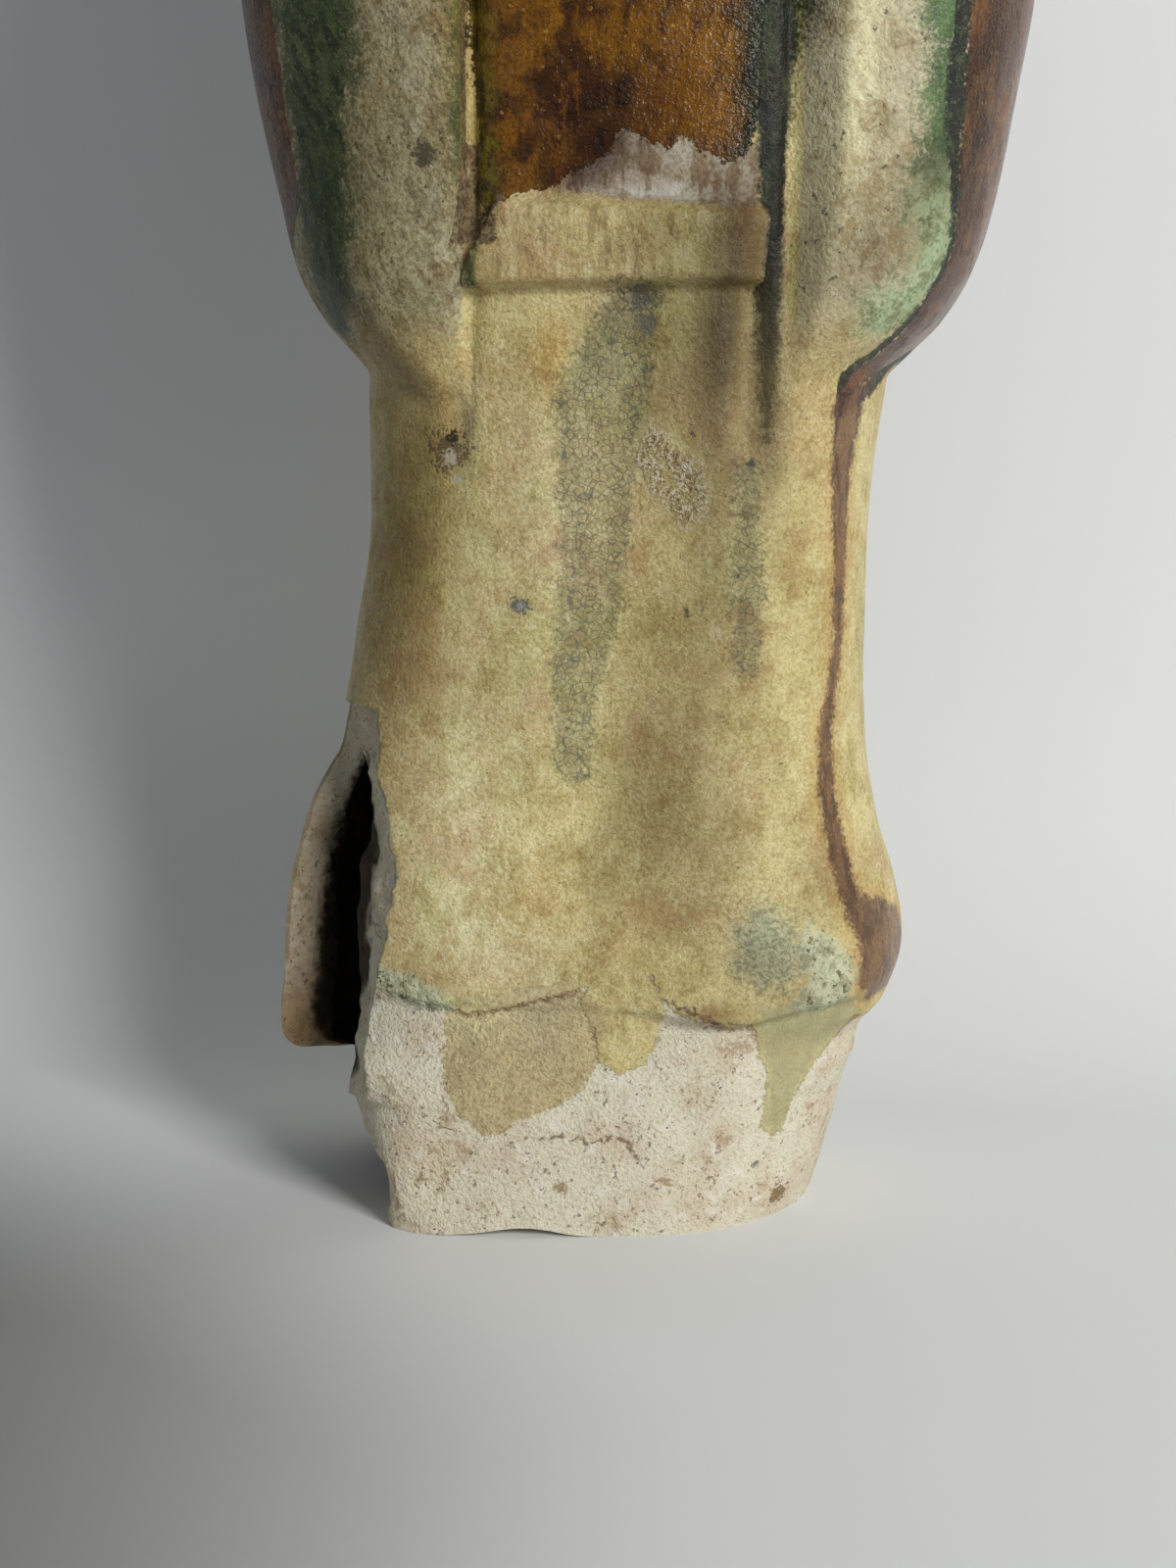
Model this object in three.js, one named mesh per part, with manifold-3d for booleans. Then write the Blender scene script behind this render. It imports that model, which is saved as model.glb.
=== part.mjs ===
// Tomb figure of a standing official in three-colour glaze, hollow, with its lower left side broken.
// Millimetres, +Z up. The figure faces -Y and +X is on the right of someone who looks at its face.
// The origin is on the floor under the middle of the figure's outer box.
import * as THREE from "three";
import { mergeVertices } from "three/addons/utils/BufferGeometryUtils.js";
import Module from "manifold-3d";

const wasm = await Module();
wasm.setup();

// Driving dimensions
const wall = 8; // thickness of the moulded clay
const hemWall = 2.8; // how much thicker the clay is behind the hem
const footTwist = 10; // degrees the foot is turned to the right under the gown
const neckTop = 472; // where the body's clay ends inside the head
const hollowTop = 432; // top of the hollow, under the neck
const hollowDome = 70; // height over which the hollow closes
const sleeveDrop = 12; // how much lower the sleeves hang at the front than at the sides
const panelLeft = 24.5; // front panel's left side, from the middle of the figure
const panelRight = 42.5; // front panel's right side
const grooveWidth = 1.4; // groove between the panel and a sleeve
const grooveDepth = 1.4;
const stepWidth = 1.6; // step from the groove out to the sleeve
const roll = { left: -24.2, right: 39.8, lean: 0.08, reach: 26 }; // where the sleeves' edges roll to
const archStart = 288; // the panel narrows above this height
const archTop = 331; // and ends here, under the forearms
const band = { low: 193, high: 212.5, rise: 3.4, left: 17, lean: 7, right: 33.5, tilt: 0.05 }; // robe's hem
const hem = { line: 48.5, dip: 3.5, rise: 0.9, riseRight: 1.5, fade: 24 }; // gown's lower edge in front
const hands = { x: 3.5, y: -66, z: 358, width: 42, depth: 26, height: 30 }; // clasped, in the cuffs
const arms = { z: 350, rise: 10, above: 26, below: 11, slope: 20 }; // forearms under the cloth
const head = { x: 3.5, y: -3, z: 500, width: 58, depth: 66, height: 86 };
const ear = { width: 7, depth: 14, height: 22, out: 28.5, y: 2, z: 498 };
const collar = { x: 3.5, y: 1, z: 450, radius: 23.5, thick: 4.5 };

// Outline of the gown and the robe's front: height, left, right, front, back, and the squareness
// on the left and on the right. Left and right are measured from the x = 0 plane, front and back
// from the y = 0 plane.
const gown = [
  [0, 52, 43.4, 42.5, 33, 6.0, 2.3],
  [6, 53, 46, 42.5, 33.7, 5.6, 2.35],
  [14, 55, 47.9, 42.5, 34.5, 5.0, 2.4],
  [26, 58, 51, 42.5, 36, 4.2, 2.5],
  [29.5, 72.5, 52, 42.5, 36.5, 3.0, 2.6],
  [33, 75, 53.5, 42.4, 37, 2.9, 2.6],
  [38, 75.5, 54.6, 42.2, 41, 2.5, 2.5],
  [45, 75, 60.5, 42, 43, 2.4, 2.4],
  [57, 73.5, 63.4, 41.5, 43.5, 2.4, 2.4],
  [70, 71.5, 61.5, 41, 43, 2.4, 2.4],
  [84, 68, 57.5, 40, 42, 2.45, 2.45],
  [100, 61.5, 54.7, 39, 40.5, 2.5, 2.5],
  [118, 57.6, 54, 38.5, 39.5, 2.6, 2.6],
  [150, 53.3, 54.7, 38, 39, 2.6, 2.6],
  [178, 53, 58, 39, 39, 2.6, 2.6],
  [213, 55, 62, 39.5, 40, 2.6, 2.6],
  [260, 58, 66, 41.5, 41, 2.5, 2.5],
  [310, 62, 70, 45, 42, 2.5, 2.5],
  [360, 62, 70, 42, 41, 2.4, 2.4],
  [415, 54, 62, 34, 36, 2.3, 2.3],
  [445, 30, 38, 22, 25, 2.1, 2.1],
  [472, 12, 20, 14, 15, 2.0, 2.0],
];

// Middle of the rings: height, x.
const axis = [[0, -3.3], [100, -3.4], [118, -1.8], [150, 0.7], [178, 2.5], [213, 3.5], [260, 4], [472, 4]];

// Outline of the robe's sleeves and shoulders, in the same columns with one squareness.
const sleeves = [
  [164, 48, 51, 36, 37, 2.6],
  [178, 52, 57.5, 39.5, 39.5, 2.7],
  [184, 56.5, 63.5, 43, 41.5, 2.7],
  [190, 61.5, 69.5, 45.5, 42, 2.7],
  [200, 67, 75.5, 47.5, 42.5, 2.8],
  [215, 70.8, 80, 48.5, 43, 2.8],
  [235, 75.6, 83.5, 49.5, 43.5, 2.8],
  [258, 79.4, 87, 51, 44, 2.7],
  [300, 84, 91, 56, 45, 2.5],
  [335, 85.3, 92, 61, 45, 2.4],
  [352, 85, 91.7, 62, 45, 2.35],
  [372, 83, 90, 55, 45, 2.3],
  [392, 80, 87, 46, 44, 2.3],
  [415, 75, 82, 40, 42, 2.2],
  [432, 64, 71, 36, 39, 2.1],
  [444, 44, 51, 30, 34, 2.0],
  [451, 26, 33, 24, 27, 2.0],
  [458, 16, 23, 18, 20, 2.0],
  [472, 14.5, 21.5, 16.5, 18, 2.0],
];

// Outline of the official's cap around the head: height, half width, front, back, squareness.
const cap = [
  [512, 29.5, 31, 35, 2.2],
  [522, 31, 33, 36.5, 2.2],
  [529, 30, 31, 36.5, 2.2],
  [537, 27, 25, 35, 2.2],
  [545, 21, 12, 33, 2.3],
  [552, 18.5, 4, 31, 2.5],
  [564, 18, -2, 28, 2.6],
  [571, 15, -6, 24, 2.4],
  [575, 7, -10, 18, 2.2],
];

// Long folds of the cloth: turn in degrees from the front, height from and to, lean in degrees
// over 100 mm, half width in degrees, depth.
const folds = [
  [-169, 196, 410, 3, 8, 2.6], [169, 196, 410, -3, 8, 2.6], [-146, 205, 425, 8, 8, 3.4],
  [146, 205, 425, -8, 8, 3.4], [-120, 190, 300, 10, 8, 2.6], [120, 190, 300, -10, 8, 2.6],
  [-158, 40, 176, 4, 8, 2.4], [158, 40, 176, -4, 8, 2.4], [-135, 48, 176, 6, 8, 2.2],
  [135, 48, 176, -6, 8, 2.2], [180, 40, 176, 0, 7, 1.6], [-49, 372, 436, -8, 7, 3.2],
  [49, 372, 436, 8, 7, 3.2], [-78, 250, 345, 14, 8, 2.6], [78, 250, 345, -14, 8, 2.6],
  [40.4, 150, 212, -7, 4, 3.0], [-40, 128, 200, 0, 5, 2.4],
];

// Broken place: tracks of points up the break, each a list of height, x, y. Front edge and lip
// follow the front wall, rear edge and lip follow what is left of the side, and the middle
// runs inside the hollow below and inside the clay above, where only the surface is gone.
const breakTop = 109;
const breakTracks = {
  frontEdge: [[0, -40.4, -48], [7, -39.2, -48], [13, -40.9, -47], [18, -42, -46], [25, -44.6, -46],
    [31, -46.3, -45], [38, -46.2, -43], [44, -45.1, -41], [51, -45.6, -38], [57, -46.5, -35],
    [66, -46.1, -34], [78, -44.3, -34], [94, -45.5, -33], [109, -46, -32]],
  frontLip: [[0, -43.1, -38.5], [5, -43.2, -38], [12, -44.6, -37.5], [20, -49, -37], [27, -53.2, -36],
    [33, -50.8, -35], [39, -50.2, -34], [44, -48.4, -32], [49, -50.5, -26], [61, -51.8, -26],
    [74, -50.1, -26], [80, -48.6, -26], [87, -48, -26], [109, -48, -26]],
  middle: [[0, -38, -8], [34, -43, -8], [49, -50, -13], [77, -50, -13], [87, -51, -17],
    [96, -52.5, -19], [109, -53, -22]],
  rearLip: [[0, -45, 9], [25, -50, 10], [29, -64, -6], [36, -63, -5], [49, -61, -4], [68, -61, -2],
    [77, -61.5, -2], [81, -58, -6], [88, -52.5, -10], [109, -52.5, -12]],
  rearEdge: [[0, -62, 12], [25, -66, 13], [29, -76, -17], [49, -72.5, -17], [77, -69.5, -16],
    [87, -66, -11], [96, -61.5, -3], [109, -59, -4]],
};
const breakFar = 30; // how far the cutter reaches outside the wall

const clamp01 = (value) => Math.min(1, Math.max(0, value));
const smooth = (from, to, value) => {
  const t = clamp01((value - from) / (to - from));
  return t * t * (3 - 2 * t);
};

// Value of one column of a station list at a height, along a curve that never overshoots.
function along(stations, height, column) {
  const last = stations.length - 1;
  if (height <= stations[0][0]) return stations[0][column];
  if (height >= stations[last][0]) return stations[last][column];
  let i = 0;
  while (stations[i + 1][0] < height) i += 1;
  const slope = (k) => (stations[k + 1][column] - stations[k][column]) / (stations[k + 1][0] - stations[k][0]);
  const tangent = (k) => {
    if (k === 0) return slope(0);
    if (k === last) return slope(last - 1);
    const before = slope(k - 1);
    const after = slope(k);
    return before * after <= 0 ? 0 : (2 * before * after) / (before + after);
  };
  const step = stations[i + 1][0] - stations[i][0];
  const t = (height - stations[i][0]) / step;
  const from = stations[i][column];
  const to = stations[i + 1][column];
  return from + (to - from) * t * t * (3 - 2 * t)
    + step * t * (1 - t) * ((1 - t) * tangent(i) - t * tangent(i + 1));
}

// Point of a straight-sided track at a height.
function onTrack(track, height) {
  let i = 0;
  while (i < track.length - 2 && track[i + 1][0] < height) i += 1;
  const t = clamp01((height - track[i][0]) / (track[i + 1][0] - track[i][0]));
  return [1, 2].map((k) => track[i][k] + (track[i + 1][k] - track[i][k]) * t);
}

const axisX = (z) => along(axis, z, 1);

// Distance from the axis to a rounded outline, where turn 0 looks to the front and 90 degrees
// to the right. Each quarter is a superellipse with its own two half axes.
function outline(stations, z, turn, inset) {
  const twist = stations === gown ? THREE.MathUtils.degToRad(footTwist) * (1 - smooth(25, 60, z)) : 0;
  const across = Math.sin(turn - twist);
  const ahead = Math.cos(turn - twist);
  const x = axisX(z);
  const side = (across > 0 ? along(stations, z, 2) - x : along(stations, z, 1) + x) - inset;
  const depth = (ahead > 0 ? along(stations, z, 3) : along(stations, z, 4)) - inset;
  const n = along(stations, z, across > 0 ? stations[0].length - 1 : 5);
  return ((Math.abs(across) / side) ** n + (Math.abs(ahead) / depth) ** n) ** (-1 / n);
}

// Turns of the panel's two sides at a height, closing in an arch under the forearms.
function panelTurns(z) {
  const rise = clamp01((z - archStart) / (archTop - archStart));
  const narrow = Math.sqrt(1 - rise * rise);
  const depth = along(gown, z, 3);
  const middle = axisX(z);
  return {
    left: Math.atan2(-Math.max(1.5, panelLeft * narrow) - middle, depth),
    right: Math.atan2(Math.max(1.5, panelRight * narrow) - middle, depth),
    depth,
  };
}

// Ring stops, from the back round the right side to the back again: each stop is a place on
// the ring that the columns follow at every height, and counts are the columns between stops.
const ringCounts = [8, 9, 1, 2, 3, 3, 2, 1, 9, 8];
function ringTurns(z) {
  const { left, right, depth } = panelTurns(z);
  const groove = grooveWidth / depth;
  const step = (grooveWidth + stepWidth) / depth;
  const stops = [-Math.PI, -Math.PI / 2, left - step, left - groove, left, (left + right) / 2,
    right, right + groove, right + step, Math.PI / 2, Math.PI];
  const turns = [];
  ringCounts.forEach((count, i) => {
    for (let k = 0; k < count; k += 1) turns.push(stops[i] + ((stops[i + 1] - stops[i]) * k) / count);
  });
  return turns;
}

// Depth of the cloth's folds at a place: each is a soft groove that fades at its ends.
function foldedIn(z, turn) {
  const degrees = THREE.MathUtils.radToDeg(turn);
  return folds.reduce((sum, [at, low, high, lean, width, depth]) => {
    const away = Math.abs(degrees - at - (lean * (z - (low + high) / 2)) / 100) % 360;
    const near = Math.min(away, 360 - away) / width;
    const fade = smooth(low, low + 22, z) * (1 - smooth(high - 22, high, z));
    return sum + depth * fade * Math.exp(-near * near);
  }, 0);
}

// Point of the outer surface: the gown, the sleeve layer over it outside the panel, whose edges
// roll in over the panel's sides, the hem, the hem band and the forearms, less the folds.
function bodyPoint(z, turn) {
  const base = outline(gown, z, turn, 0);
  const x = axisX(z) + base * Math.sin(turn);
  const front = Math.cos(turn) > 0;
  const { left, right, depth } = panelTurns(z);
  const outside = Math.max(turn - right, left - turn) * depth;
  const closed = smooth(archTop - 8, archTop + 2, z);
  const edge = grooveWidth + stepWidth;
  const cover = front ? Math.max(smooth(grooveWidth, edge, outside), closed) : 1;
  const drop = front ? sleeveDrop * (1 - smooth(0.3, 1.2, Math.abs(turn))) : 0;
  const lowered = z + drop * (1 - smooth(185, 215, z));
  const rise = Math.max(0, outline(sleeves, lowered, turn, 0) - base) * smooth(162, 170, lowered);
  const inGroove = Math.exp(-(((outside - grooveWidth / 2) / 1.2) ** 2)) * (1 - closed) * smooth(170, 215, z);
  const top = band.high - band.tilt * (x + band.left);
  const inBand = smooth(band.low, band.low + 2, z) * (1 - smooth(top - 1.5, top, z));
  const start = -band.left - band.lean * (1 - smooth(band.low + 2, band.high - 3, z));
  const across = smooth(start - 2.5, start, x) * (1 - smooth(band.right, band.right + 2, x));
  const line = hem.line - hem.dip * Math.exp(-(((x - 28) / 13) ** 2));
  const skirt = smooth(line - 1, line + 1, z) * (1 - smooth(line + 2, line + hem.fade, z));
  const overhang = (hem.rise + hem.riseRight * smooth(5, 22, x)) * skirt * smooth(0.1, 0.6, Math.cos(turn));
  const offArm = z - arms.z + arms.slope * (1 - Math.cos(turn));
  const reach = offArm > 0 ? arms.above : arms.below;
  const arm = arms.rise * Math.exp(-((offArm / reach) ** 2)) * smooth(0.05, 0.7, Math.cos(turn));
  const radius = base + rise * cover + overhang + arm * cover - foldedIn(z, turn)
    + (front ? band.rise * inBand * across - grooveDepth * inGroove : 0);
  const side = turn > 0 ? right + edge / depth : left - edge / depth;
  const target = turn > 0 ? roll.right + roll.lean * (z - 226) : roll.left;
  const toTarget = target - axisX(z) - outline(sleeves, z, side, 0) * Math.sin(side);
  const near = (1 - smooth(0, roll.reach, outside - edge)) * cover * smooth(0, 6, rise);
  const shift = front ? toTarget * near * (1 - smooth(archStart, archTop - 6, z)) : 0;
  return [axisX(z) + radius * Math.sin(turn) + shift, -radius * Math.cos(turn), z];
}

// Closed surface through rings of points, each ring with the same count, with a flat fan at
// each end. Rings run upwards and each ring turns from the front to the right.
function loft(rings) {
  const count = rings[0].length;
  const points = rings.flat();
  const faces = [];
  for (let r = 0; r < rings.length - 1; r += 1) {
    for (let k = 0; k < count; k += 1) {
      const a = r * count + k;
      const b = r * count + ((k + 1) % count);
      faces.push(a, b, b + count, a, b + count, a + count);
    }
  }
  [0, rings.length - 1].forEach((r) => {
    const middle = [0, 1, 2].map((axis) => rings[r].reduce((sum, p) => sum + p[axis], 0) / count);
    const hub = points.push(middle) - 1;
    for (let k = 0; k < count; k += 1) {
      const a = r * count + k;
      const b = r * count + ((k + 1) % count);
      faces.push(...(r === 0 ? [hub, b, a] : [hub, a, b]));
    }
  });
  const geometry = new THREE.BufferGeometry();
  geometry.setAttribute("position", new THREE.Float32BufferAttribute(points.flat(), 3));
  geometry.setIndex(faces);
  return geometry;
}

// Heights from one level to another in equal steps, without the last level.
const steps = (from, to, count) => Array.from({ length: count }, (_, i) => from + ((to - from) * i) / count);

function bodyShape() {
  const heights = [...steps(0, 26, 4), 26, 29.5, 33, 38, 42, ...steps(45, 57, 4), ...steps(57, 118, 6),
    ...steps(118, 160, 3), ...steps(160, band.low, 7), band.low, band.low + 2, 202,
    band.high - 4, band.high - 2, band.high, ...steps(215, archStart, 5), ...steps(archStart, 340, 7),
    ...steps(340, 376, 6), ...steps(376, 420, 4), ...steps(420, 456, 6), 456, neckTop];
  return loft(heights.map((z) => ringTurns(z).map((turn) => bodyPoint(z, turn))));
}

// The hollow keeps the wall's thickness inside the gown and closes in a dome under the neck.
function hollowShape() {
  const heights = [-4, 0, 15, 26, 30, 36, 45, 57, 70, 84, 100, 118, 150, 178, 213, 260, 310, 345, 370,
    390, 405, 418, 428, hollowTop];
  const columns = 24;
  return loft(heights.map((z) => {
    const level = Math.min(360, Math.max(0, z));
    const rise = clamp01((z - (hollowTop - hollowDome)) / hollowDome);
    const close = Math.max(0.12, Math.sqrt(1 - rise * rise));
    const inset = wall + hemWall * smooth(28, 36, level) * (1 - smooth(50, 72, level));
    return steps(-Math.PI, Math.PI, columns).map((turn) => {
      const radius = outline(gown, level, turn, inset) * close;
      return [axisX(z) + radius * Math.sin(turn), -radius * Math.cos(turn), z];
    });
  }));
}

// Cutter for the broken side: the tracks joined at each height, and two far corners outside.
function breakShape() {
  const heights = [-4, 0, 6, 13, 19, 25, 29, 33, 38, 44, 49, 57, 66, 72, 77, 81, 88, 96, 103, breakTop];
  return loft(heights.map((z) => {
    const level = Math.max(0, z);
    const at = Object.fromEntries(Object.entries(breakTracks).map(([key, track]) => [key, onTrack(track, level)]));
    const beyond = (edge, lip) => {
      const length = Math.hypot(edge[0] - lip[0], edge[1] - lip[1]);
      return [0, 1].map((k) => edge[k] + ((edge[k] - lip[k]) / length) * breakFar);
    };
    const frontFar = beyond(at.frontEdge, at.frontLip);
    const rearFar = beyond(at.rearEdge, at.rearLip);
    const corner = [rearFar[0], frontFar[1]];
    const ring = [corner, frontFar, at.frontEdge, at.frontLip, at.middle, at.rearLip, at.rearEdge, rearFar];
    return ring.map(([x, y]) => [x, y, z]);
  }));
}

// Egg-shaped head: a ball that narrows to the chin, with brow, nose, mouth and chin in front.
function headShape() {
  const heights = steps(-1, 1, 16).concat(1).map((v) => Math.sin((v * Math.PI) / 2) * 0.998);
  const columns = 22;
  return loft(heights.map((v) => {
    const level = Math.sqrt(1 - v * v);
    const jaw = 1 - 0.1 * smooth(0.1, 0.9, -v);
    return steps(-Math.PI, Math.PI, columns).map((turn) => {
      const x = Math.sin(turn) * level * jaw;
      const y = Math.cos(turn) * level;
      const ahead = y > 0 ? 1 : 0;
      const bump = (cx, cz, wide, high) => ahead * Math.exp(-(((x - cx) / wide) ** 2) - ((v - cz) / high) ** 2);
      const nose = 5.5 * bump(0, -0.2, 0.14, 0.16) + 2.5 * bump(0, 0.0, 0.11, 0.16);
      const brow = 1.2 * (bump(0.3, 0.2, 0.25, 0.09) + bump(-0.3, 0.2, 0.25, 0.09));
      const sockets = 1.8 * (bump(0.33, 0.06, 0.2, 0.09) + bump(-0.33, 0.06, 0.2, 0.09));
      const mouth = 1.8 * bump(0, -0.5, 0.22, 0.09) + 1.6 * bump(0, -0.8, 0.3, 0.13);
      return [
        head.x + (x * head.width) / 2,
        head.y - (y * head.depth) / 2 - nose - brow + sockets - mouth,
        head.z + (v * head.height) / 2,
      ];
    });
  }));
}

function capShape() {
  const heights = [...steps(512, 545, 7), ...steps(545, 575, 6), 575];
  const columns = 20;
  return loft(heights.map((z) => {
    const side = along(cap, z, 1);
    const front = along(cap, z, 2);
    const back = along(cap, z, 3);
    const n = along(cap, z, 4);
    const depth = (front + back) / 2;
    const middle = (back - front) / 2;
    return steps(-Math.PI, Math.PI, columns).map((turn) => {
      const across = Math.sin(turn);
      const ahead = Math.cos(turn);
      const r = ((Math.abs(across) / side) ** n + (Math.abs(ahead) / depth) ** n) ** (-1 / n);
      return [head.x + r * across, middle - r * ahead, z];
    });
  }));
}

// Ball with three half sizes, standing at a place.
function ballShape(size, x, y, z, across, up) {
  const ball = new THREE.SphereGeometry(0.5, across, up);
  ball.rotateX(Math.PI / 2);
  ball.scale(size.width, size.depth, size.height);
  ball.translate(x, y, z);
  return ball;
}

function collarShape() {
  const ring = new THREE.TorusGeometry(collar.radius, collar.thick, 5, 20);
  ring.scale(1, 0.92, 1.1);
  ring.translate(collar.x, collar.y, collar.z);
  return ring;
}

// Closed geometry as a solid that can be joined and cut, and back again.
function toSolid(shape) {
  const bare = shape.clone();
  bare.deleteAttribute("normal");
  bare.deleteAttribute("uv");
  const merged = mergeVertices(bare, 1e-4);
  return new wasm.Manifold(new wasm.Mesh({
    numProp: 3,
    vertProperties: new Float32Array(merged.attributes.position.array),
    triVerts: new Uint32Array(merged.index.array),
  }));
}

function toGeometry(solid) {
  const mesh = solid.getMesh();
  const geometry = new THREE.BufferGeometry();
  geometry.setAttribute("position", new THREE.BufferAttribute(mesh.vertProperties, 3));
  geometry.setIndex(new THREE.BufferAttribute(mesh.triVerts, 1));
  geometry.computeVertexNormals();
  return geometry;
}

const clay = [
  headShape(),
  capShape(),
  collarShape(),
  ballShape(hands, hands.x, hands.y, hands.z, 14, 8),
  ballShape(ear, head.x - ear.out, ear.y, ear.z, 8, 6),
  ballShape(ear, head.x + ear.out, ear.y, ear.z, 8, 6),
].reduce((whole, shape) => whole.add(toSolid(shape)), toSolid(bodyShape()));
const figureShape = toGeometry(clay.subtract(toSolid(hollowShape())).subtract(toSolid(breakShape())));

// The figure stands with the middle of its outer box over the origin.
figureShape.computeBoundingBox();
const middle = figureShape.boundingBox.getCenter(new THREE.Vector3());
figureShape.translate(-middle.x, -middle.y, 0);

const figure = new THREE.Mesh(
  figureShape,
  new THREE.MeshStandardMaterial({ color: 0xc8b87e, roughness: 0.45, metalness: 0 }),
);
figure.name = "sancai_figure";

const model = new THREE.Group();
model.add(figure);
export default model;
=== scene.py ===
import math

import bpy
import numpy as np
from mathutils import Matrix, Vector


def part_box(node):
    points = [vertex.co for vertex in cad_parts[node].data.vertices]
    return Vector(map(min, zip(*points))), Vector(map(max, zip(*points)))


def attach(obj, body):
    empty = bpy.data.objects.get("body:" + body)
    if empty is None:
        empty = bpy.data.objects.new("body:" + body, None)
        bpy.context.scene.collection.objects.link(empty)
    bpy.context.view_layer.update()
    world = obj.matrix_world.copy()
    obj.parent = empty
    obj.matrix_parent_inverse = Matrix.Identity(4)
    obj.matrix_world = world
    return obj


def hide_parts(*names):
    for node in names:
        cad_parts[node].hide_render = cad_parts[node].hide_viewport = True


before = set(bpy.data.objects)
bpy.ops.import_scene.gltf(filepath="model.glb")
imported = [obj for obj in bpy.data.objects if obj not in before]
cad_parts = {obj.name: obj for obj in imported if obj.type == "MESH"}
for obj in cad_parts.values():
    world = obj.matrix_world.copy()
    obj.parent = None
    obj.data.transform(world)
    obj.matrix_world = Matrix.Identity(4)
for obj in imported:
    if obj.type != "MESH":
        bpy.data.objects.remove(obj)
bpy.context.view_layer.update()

figureLow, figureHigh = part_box("sancai_figure")

# lengths below are millimetres; turns run from the front to the right, in degrees in the tables and
# in radians in the formulas of the shape
mm = 0.001

figure = {
    "wall": 8.0, "hemWall": 2.8,  # clay, and how much thicker it is behind the hem
    "footTwist": 10.0,  # degrees the foot is turned to the right under the gown
    "hollowTop": 432.0, "hollowDome": 70.0,
    "hollowPlain": 360.0,  # above it the hollow keeps one outline
    "panelLeft": 24.5, "panelRight": 42.5,  # front panel's sides
    "grooveWidth": 1.4, "stepWidth": 1.6, "grooveDepth": 1.4,
    "rollLeft": -24.2, "rollReach": 26.0,  # where the left sleeve's edge rolls to
    "archStart": 288.0, "archTop": 331.0,  # upper end of the panel
    "rimLift": 1.9, "rimLiftTurn": -12.0, "rimLiftWidth": 11.0,  # a chip under the front edge of the foot
    "columns": [40, 56, 5, 4, 26, 26, 4, 5, 56, 40],  # between a ring's stops, from the back round the left
}
# edge of the sleeves: how much lower it hangs in front, the share of it that stands upright, how much more
# upright it grows between two heights, and how far it rounds over
sleeveEdge = {"drop": 12.0, "steep": 0.12, "steeper": 0.5, "from": 172.0, "to": 222.0, "round": 11.0}
hem = {"line": 48.5, "dip": 3.5, "rise": 1.3, "riseRight": 2.0, "fade": 24.0}  # gown's lower edge in front
hemBand = {"low": 193.0, "high": 212.5, "rise": 3.4, "left": 17.0, "lean": 7.0, "right": 33.5, "tilt": 0.05}
arms = {"z": 350.0, "rise": 10.0, "above": 26.0, "below": 11.0, "slope": 20.0}  # ridge of the forearms
hands = {"x": 3.5, "y": -66.0, "z": 358.0, "width": 42.0, "depth": 26.0, "height": 30.0, "fingers": 0.025}
head = {"x": 3.5, "y": -3.0, "z": 500.0, "width": 58.0, "depth": 66.0, "height": 86.0}
ear = {"width": 7.0, "depth": 14.0, "height": 22.0, "out": 28.5, "y": 2.0, "z": 498.0}
collar = {"x": 3.5, "y": 1.0, "z": 450.0, "radius": 23.5, "thick": 4.5}
# relief of the face: how far out, across and up from the middle in half sizes, half width, half height;
# what is off the middle stands on both sides
faceForms = {
    "nose": (5.0, 0, -0.2, 0.12, 0.15),
    "bridge": (2.5, 0, 0, 0.1, 0.16),
    "nostrils": (1.7, 0.13, -0.27, 0.07, 0.06),
    "brows": (1.8, 0.3, 0.21, 0.25, 0.08),
    "cheeks": (1.4, 0.5, -0.2, 0.26, 0.2),
    "sockets": (-3.4, 0.33, 0.07, 0.2, 0.1),
    "eyes": (2.4, 0.33, 0.05, 0.14, 0.055),
    "mouth": (1.2, 0, -0.49, 0.3, 0.13),
    "upperLip": (1.6, 0, -0.455, 0.2, 0.04),
    "lowerLip": (1.7, 0, -0.56, 0.16, 0.045),
    "chin": (1.8, 0, -0.8, 0.28, 0.13),
}
# hand pressing in the clay: size of the lumps, depth, seed
pressing = {"body": [(21, 0.4, 3), (9, 0.16, 4)], "foot": [(6, 0.28, 5), (3, 0.14, 6)]}

# outline of the gown: height, left, right, front, back, squareness on the left and on the right
gown = [
    [0, 52, 43.4, 42.5, 33, 6.0, 2.3],
    [6, 53, 46, 42.5, 33.7, 5.6, 2.35],
    [14, 55, 47.9, 42.5, 34.5, 5.0, 2.4],
    [26, 58, 51, 42.5, 36, 4.2, 2.5],
    [29.5, 72.5, 52, 42.5, 36.5, 3.0, 2.6],
    [33, 75, 53.5, 42.4, 37, 2.9, 2.6],
    [38, 75.5, 54.6, 42.2, 41, 2.5, 2.5],
    [45, 75, 60.5, 42, 43, 2.4, 2.4],
    [57, 73.5, 63.4, 41.5, 43.5, 2.9, 2.4],
    [70, 71.5, 61.5, 41, 43, 3.1, 2.4],
    [84, 68, 57.5, 40, 42, 3.1, 2.45],
    [100, 61.5, 54.7, 39, 40.5, 2.9, 2.5],
    [118, 57.6, 54, 38.5, 39.5, 2.6, 2.6],
    [150, 53.3, 54.7, 38, 39, 2.6, 2.6],
    [178, 53, 58, 39, 39, 2.6, 2.6],
    [213, 55, 62, 39.5, 40, 2.6, 2.6],
    [260, 58, 66, 41.5, 41, 2.5, 2.5],
    [310, 62, 70, 45, 42, 2.5, 2.5],
    [360, 62, 70, 42, 41, 2.4, 2.4],
    [415, 54, 62, 34, 36, 2.3, 2.3],
    [445, 30, 38, 22, 25, 2.1, 2.1],
    [472, 12, 20, 14, 15, 2.0, 2.0],
]
# middle of the rings: height, x
axis = [[0, -3.3], [100, -3.4], [118, -1.8], [150, 0.7], [178, 2.5], [213, 3.5], [260, 4], [472, 4]]
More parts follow.
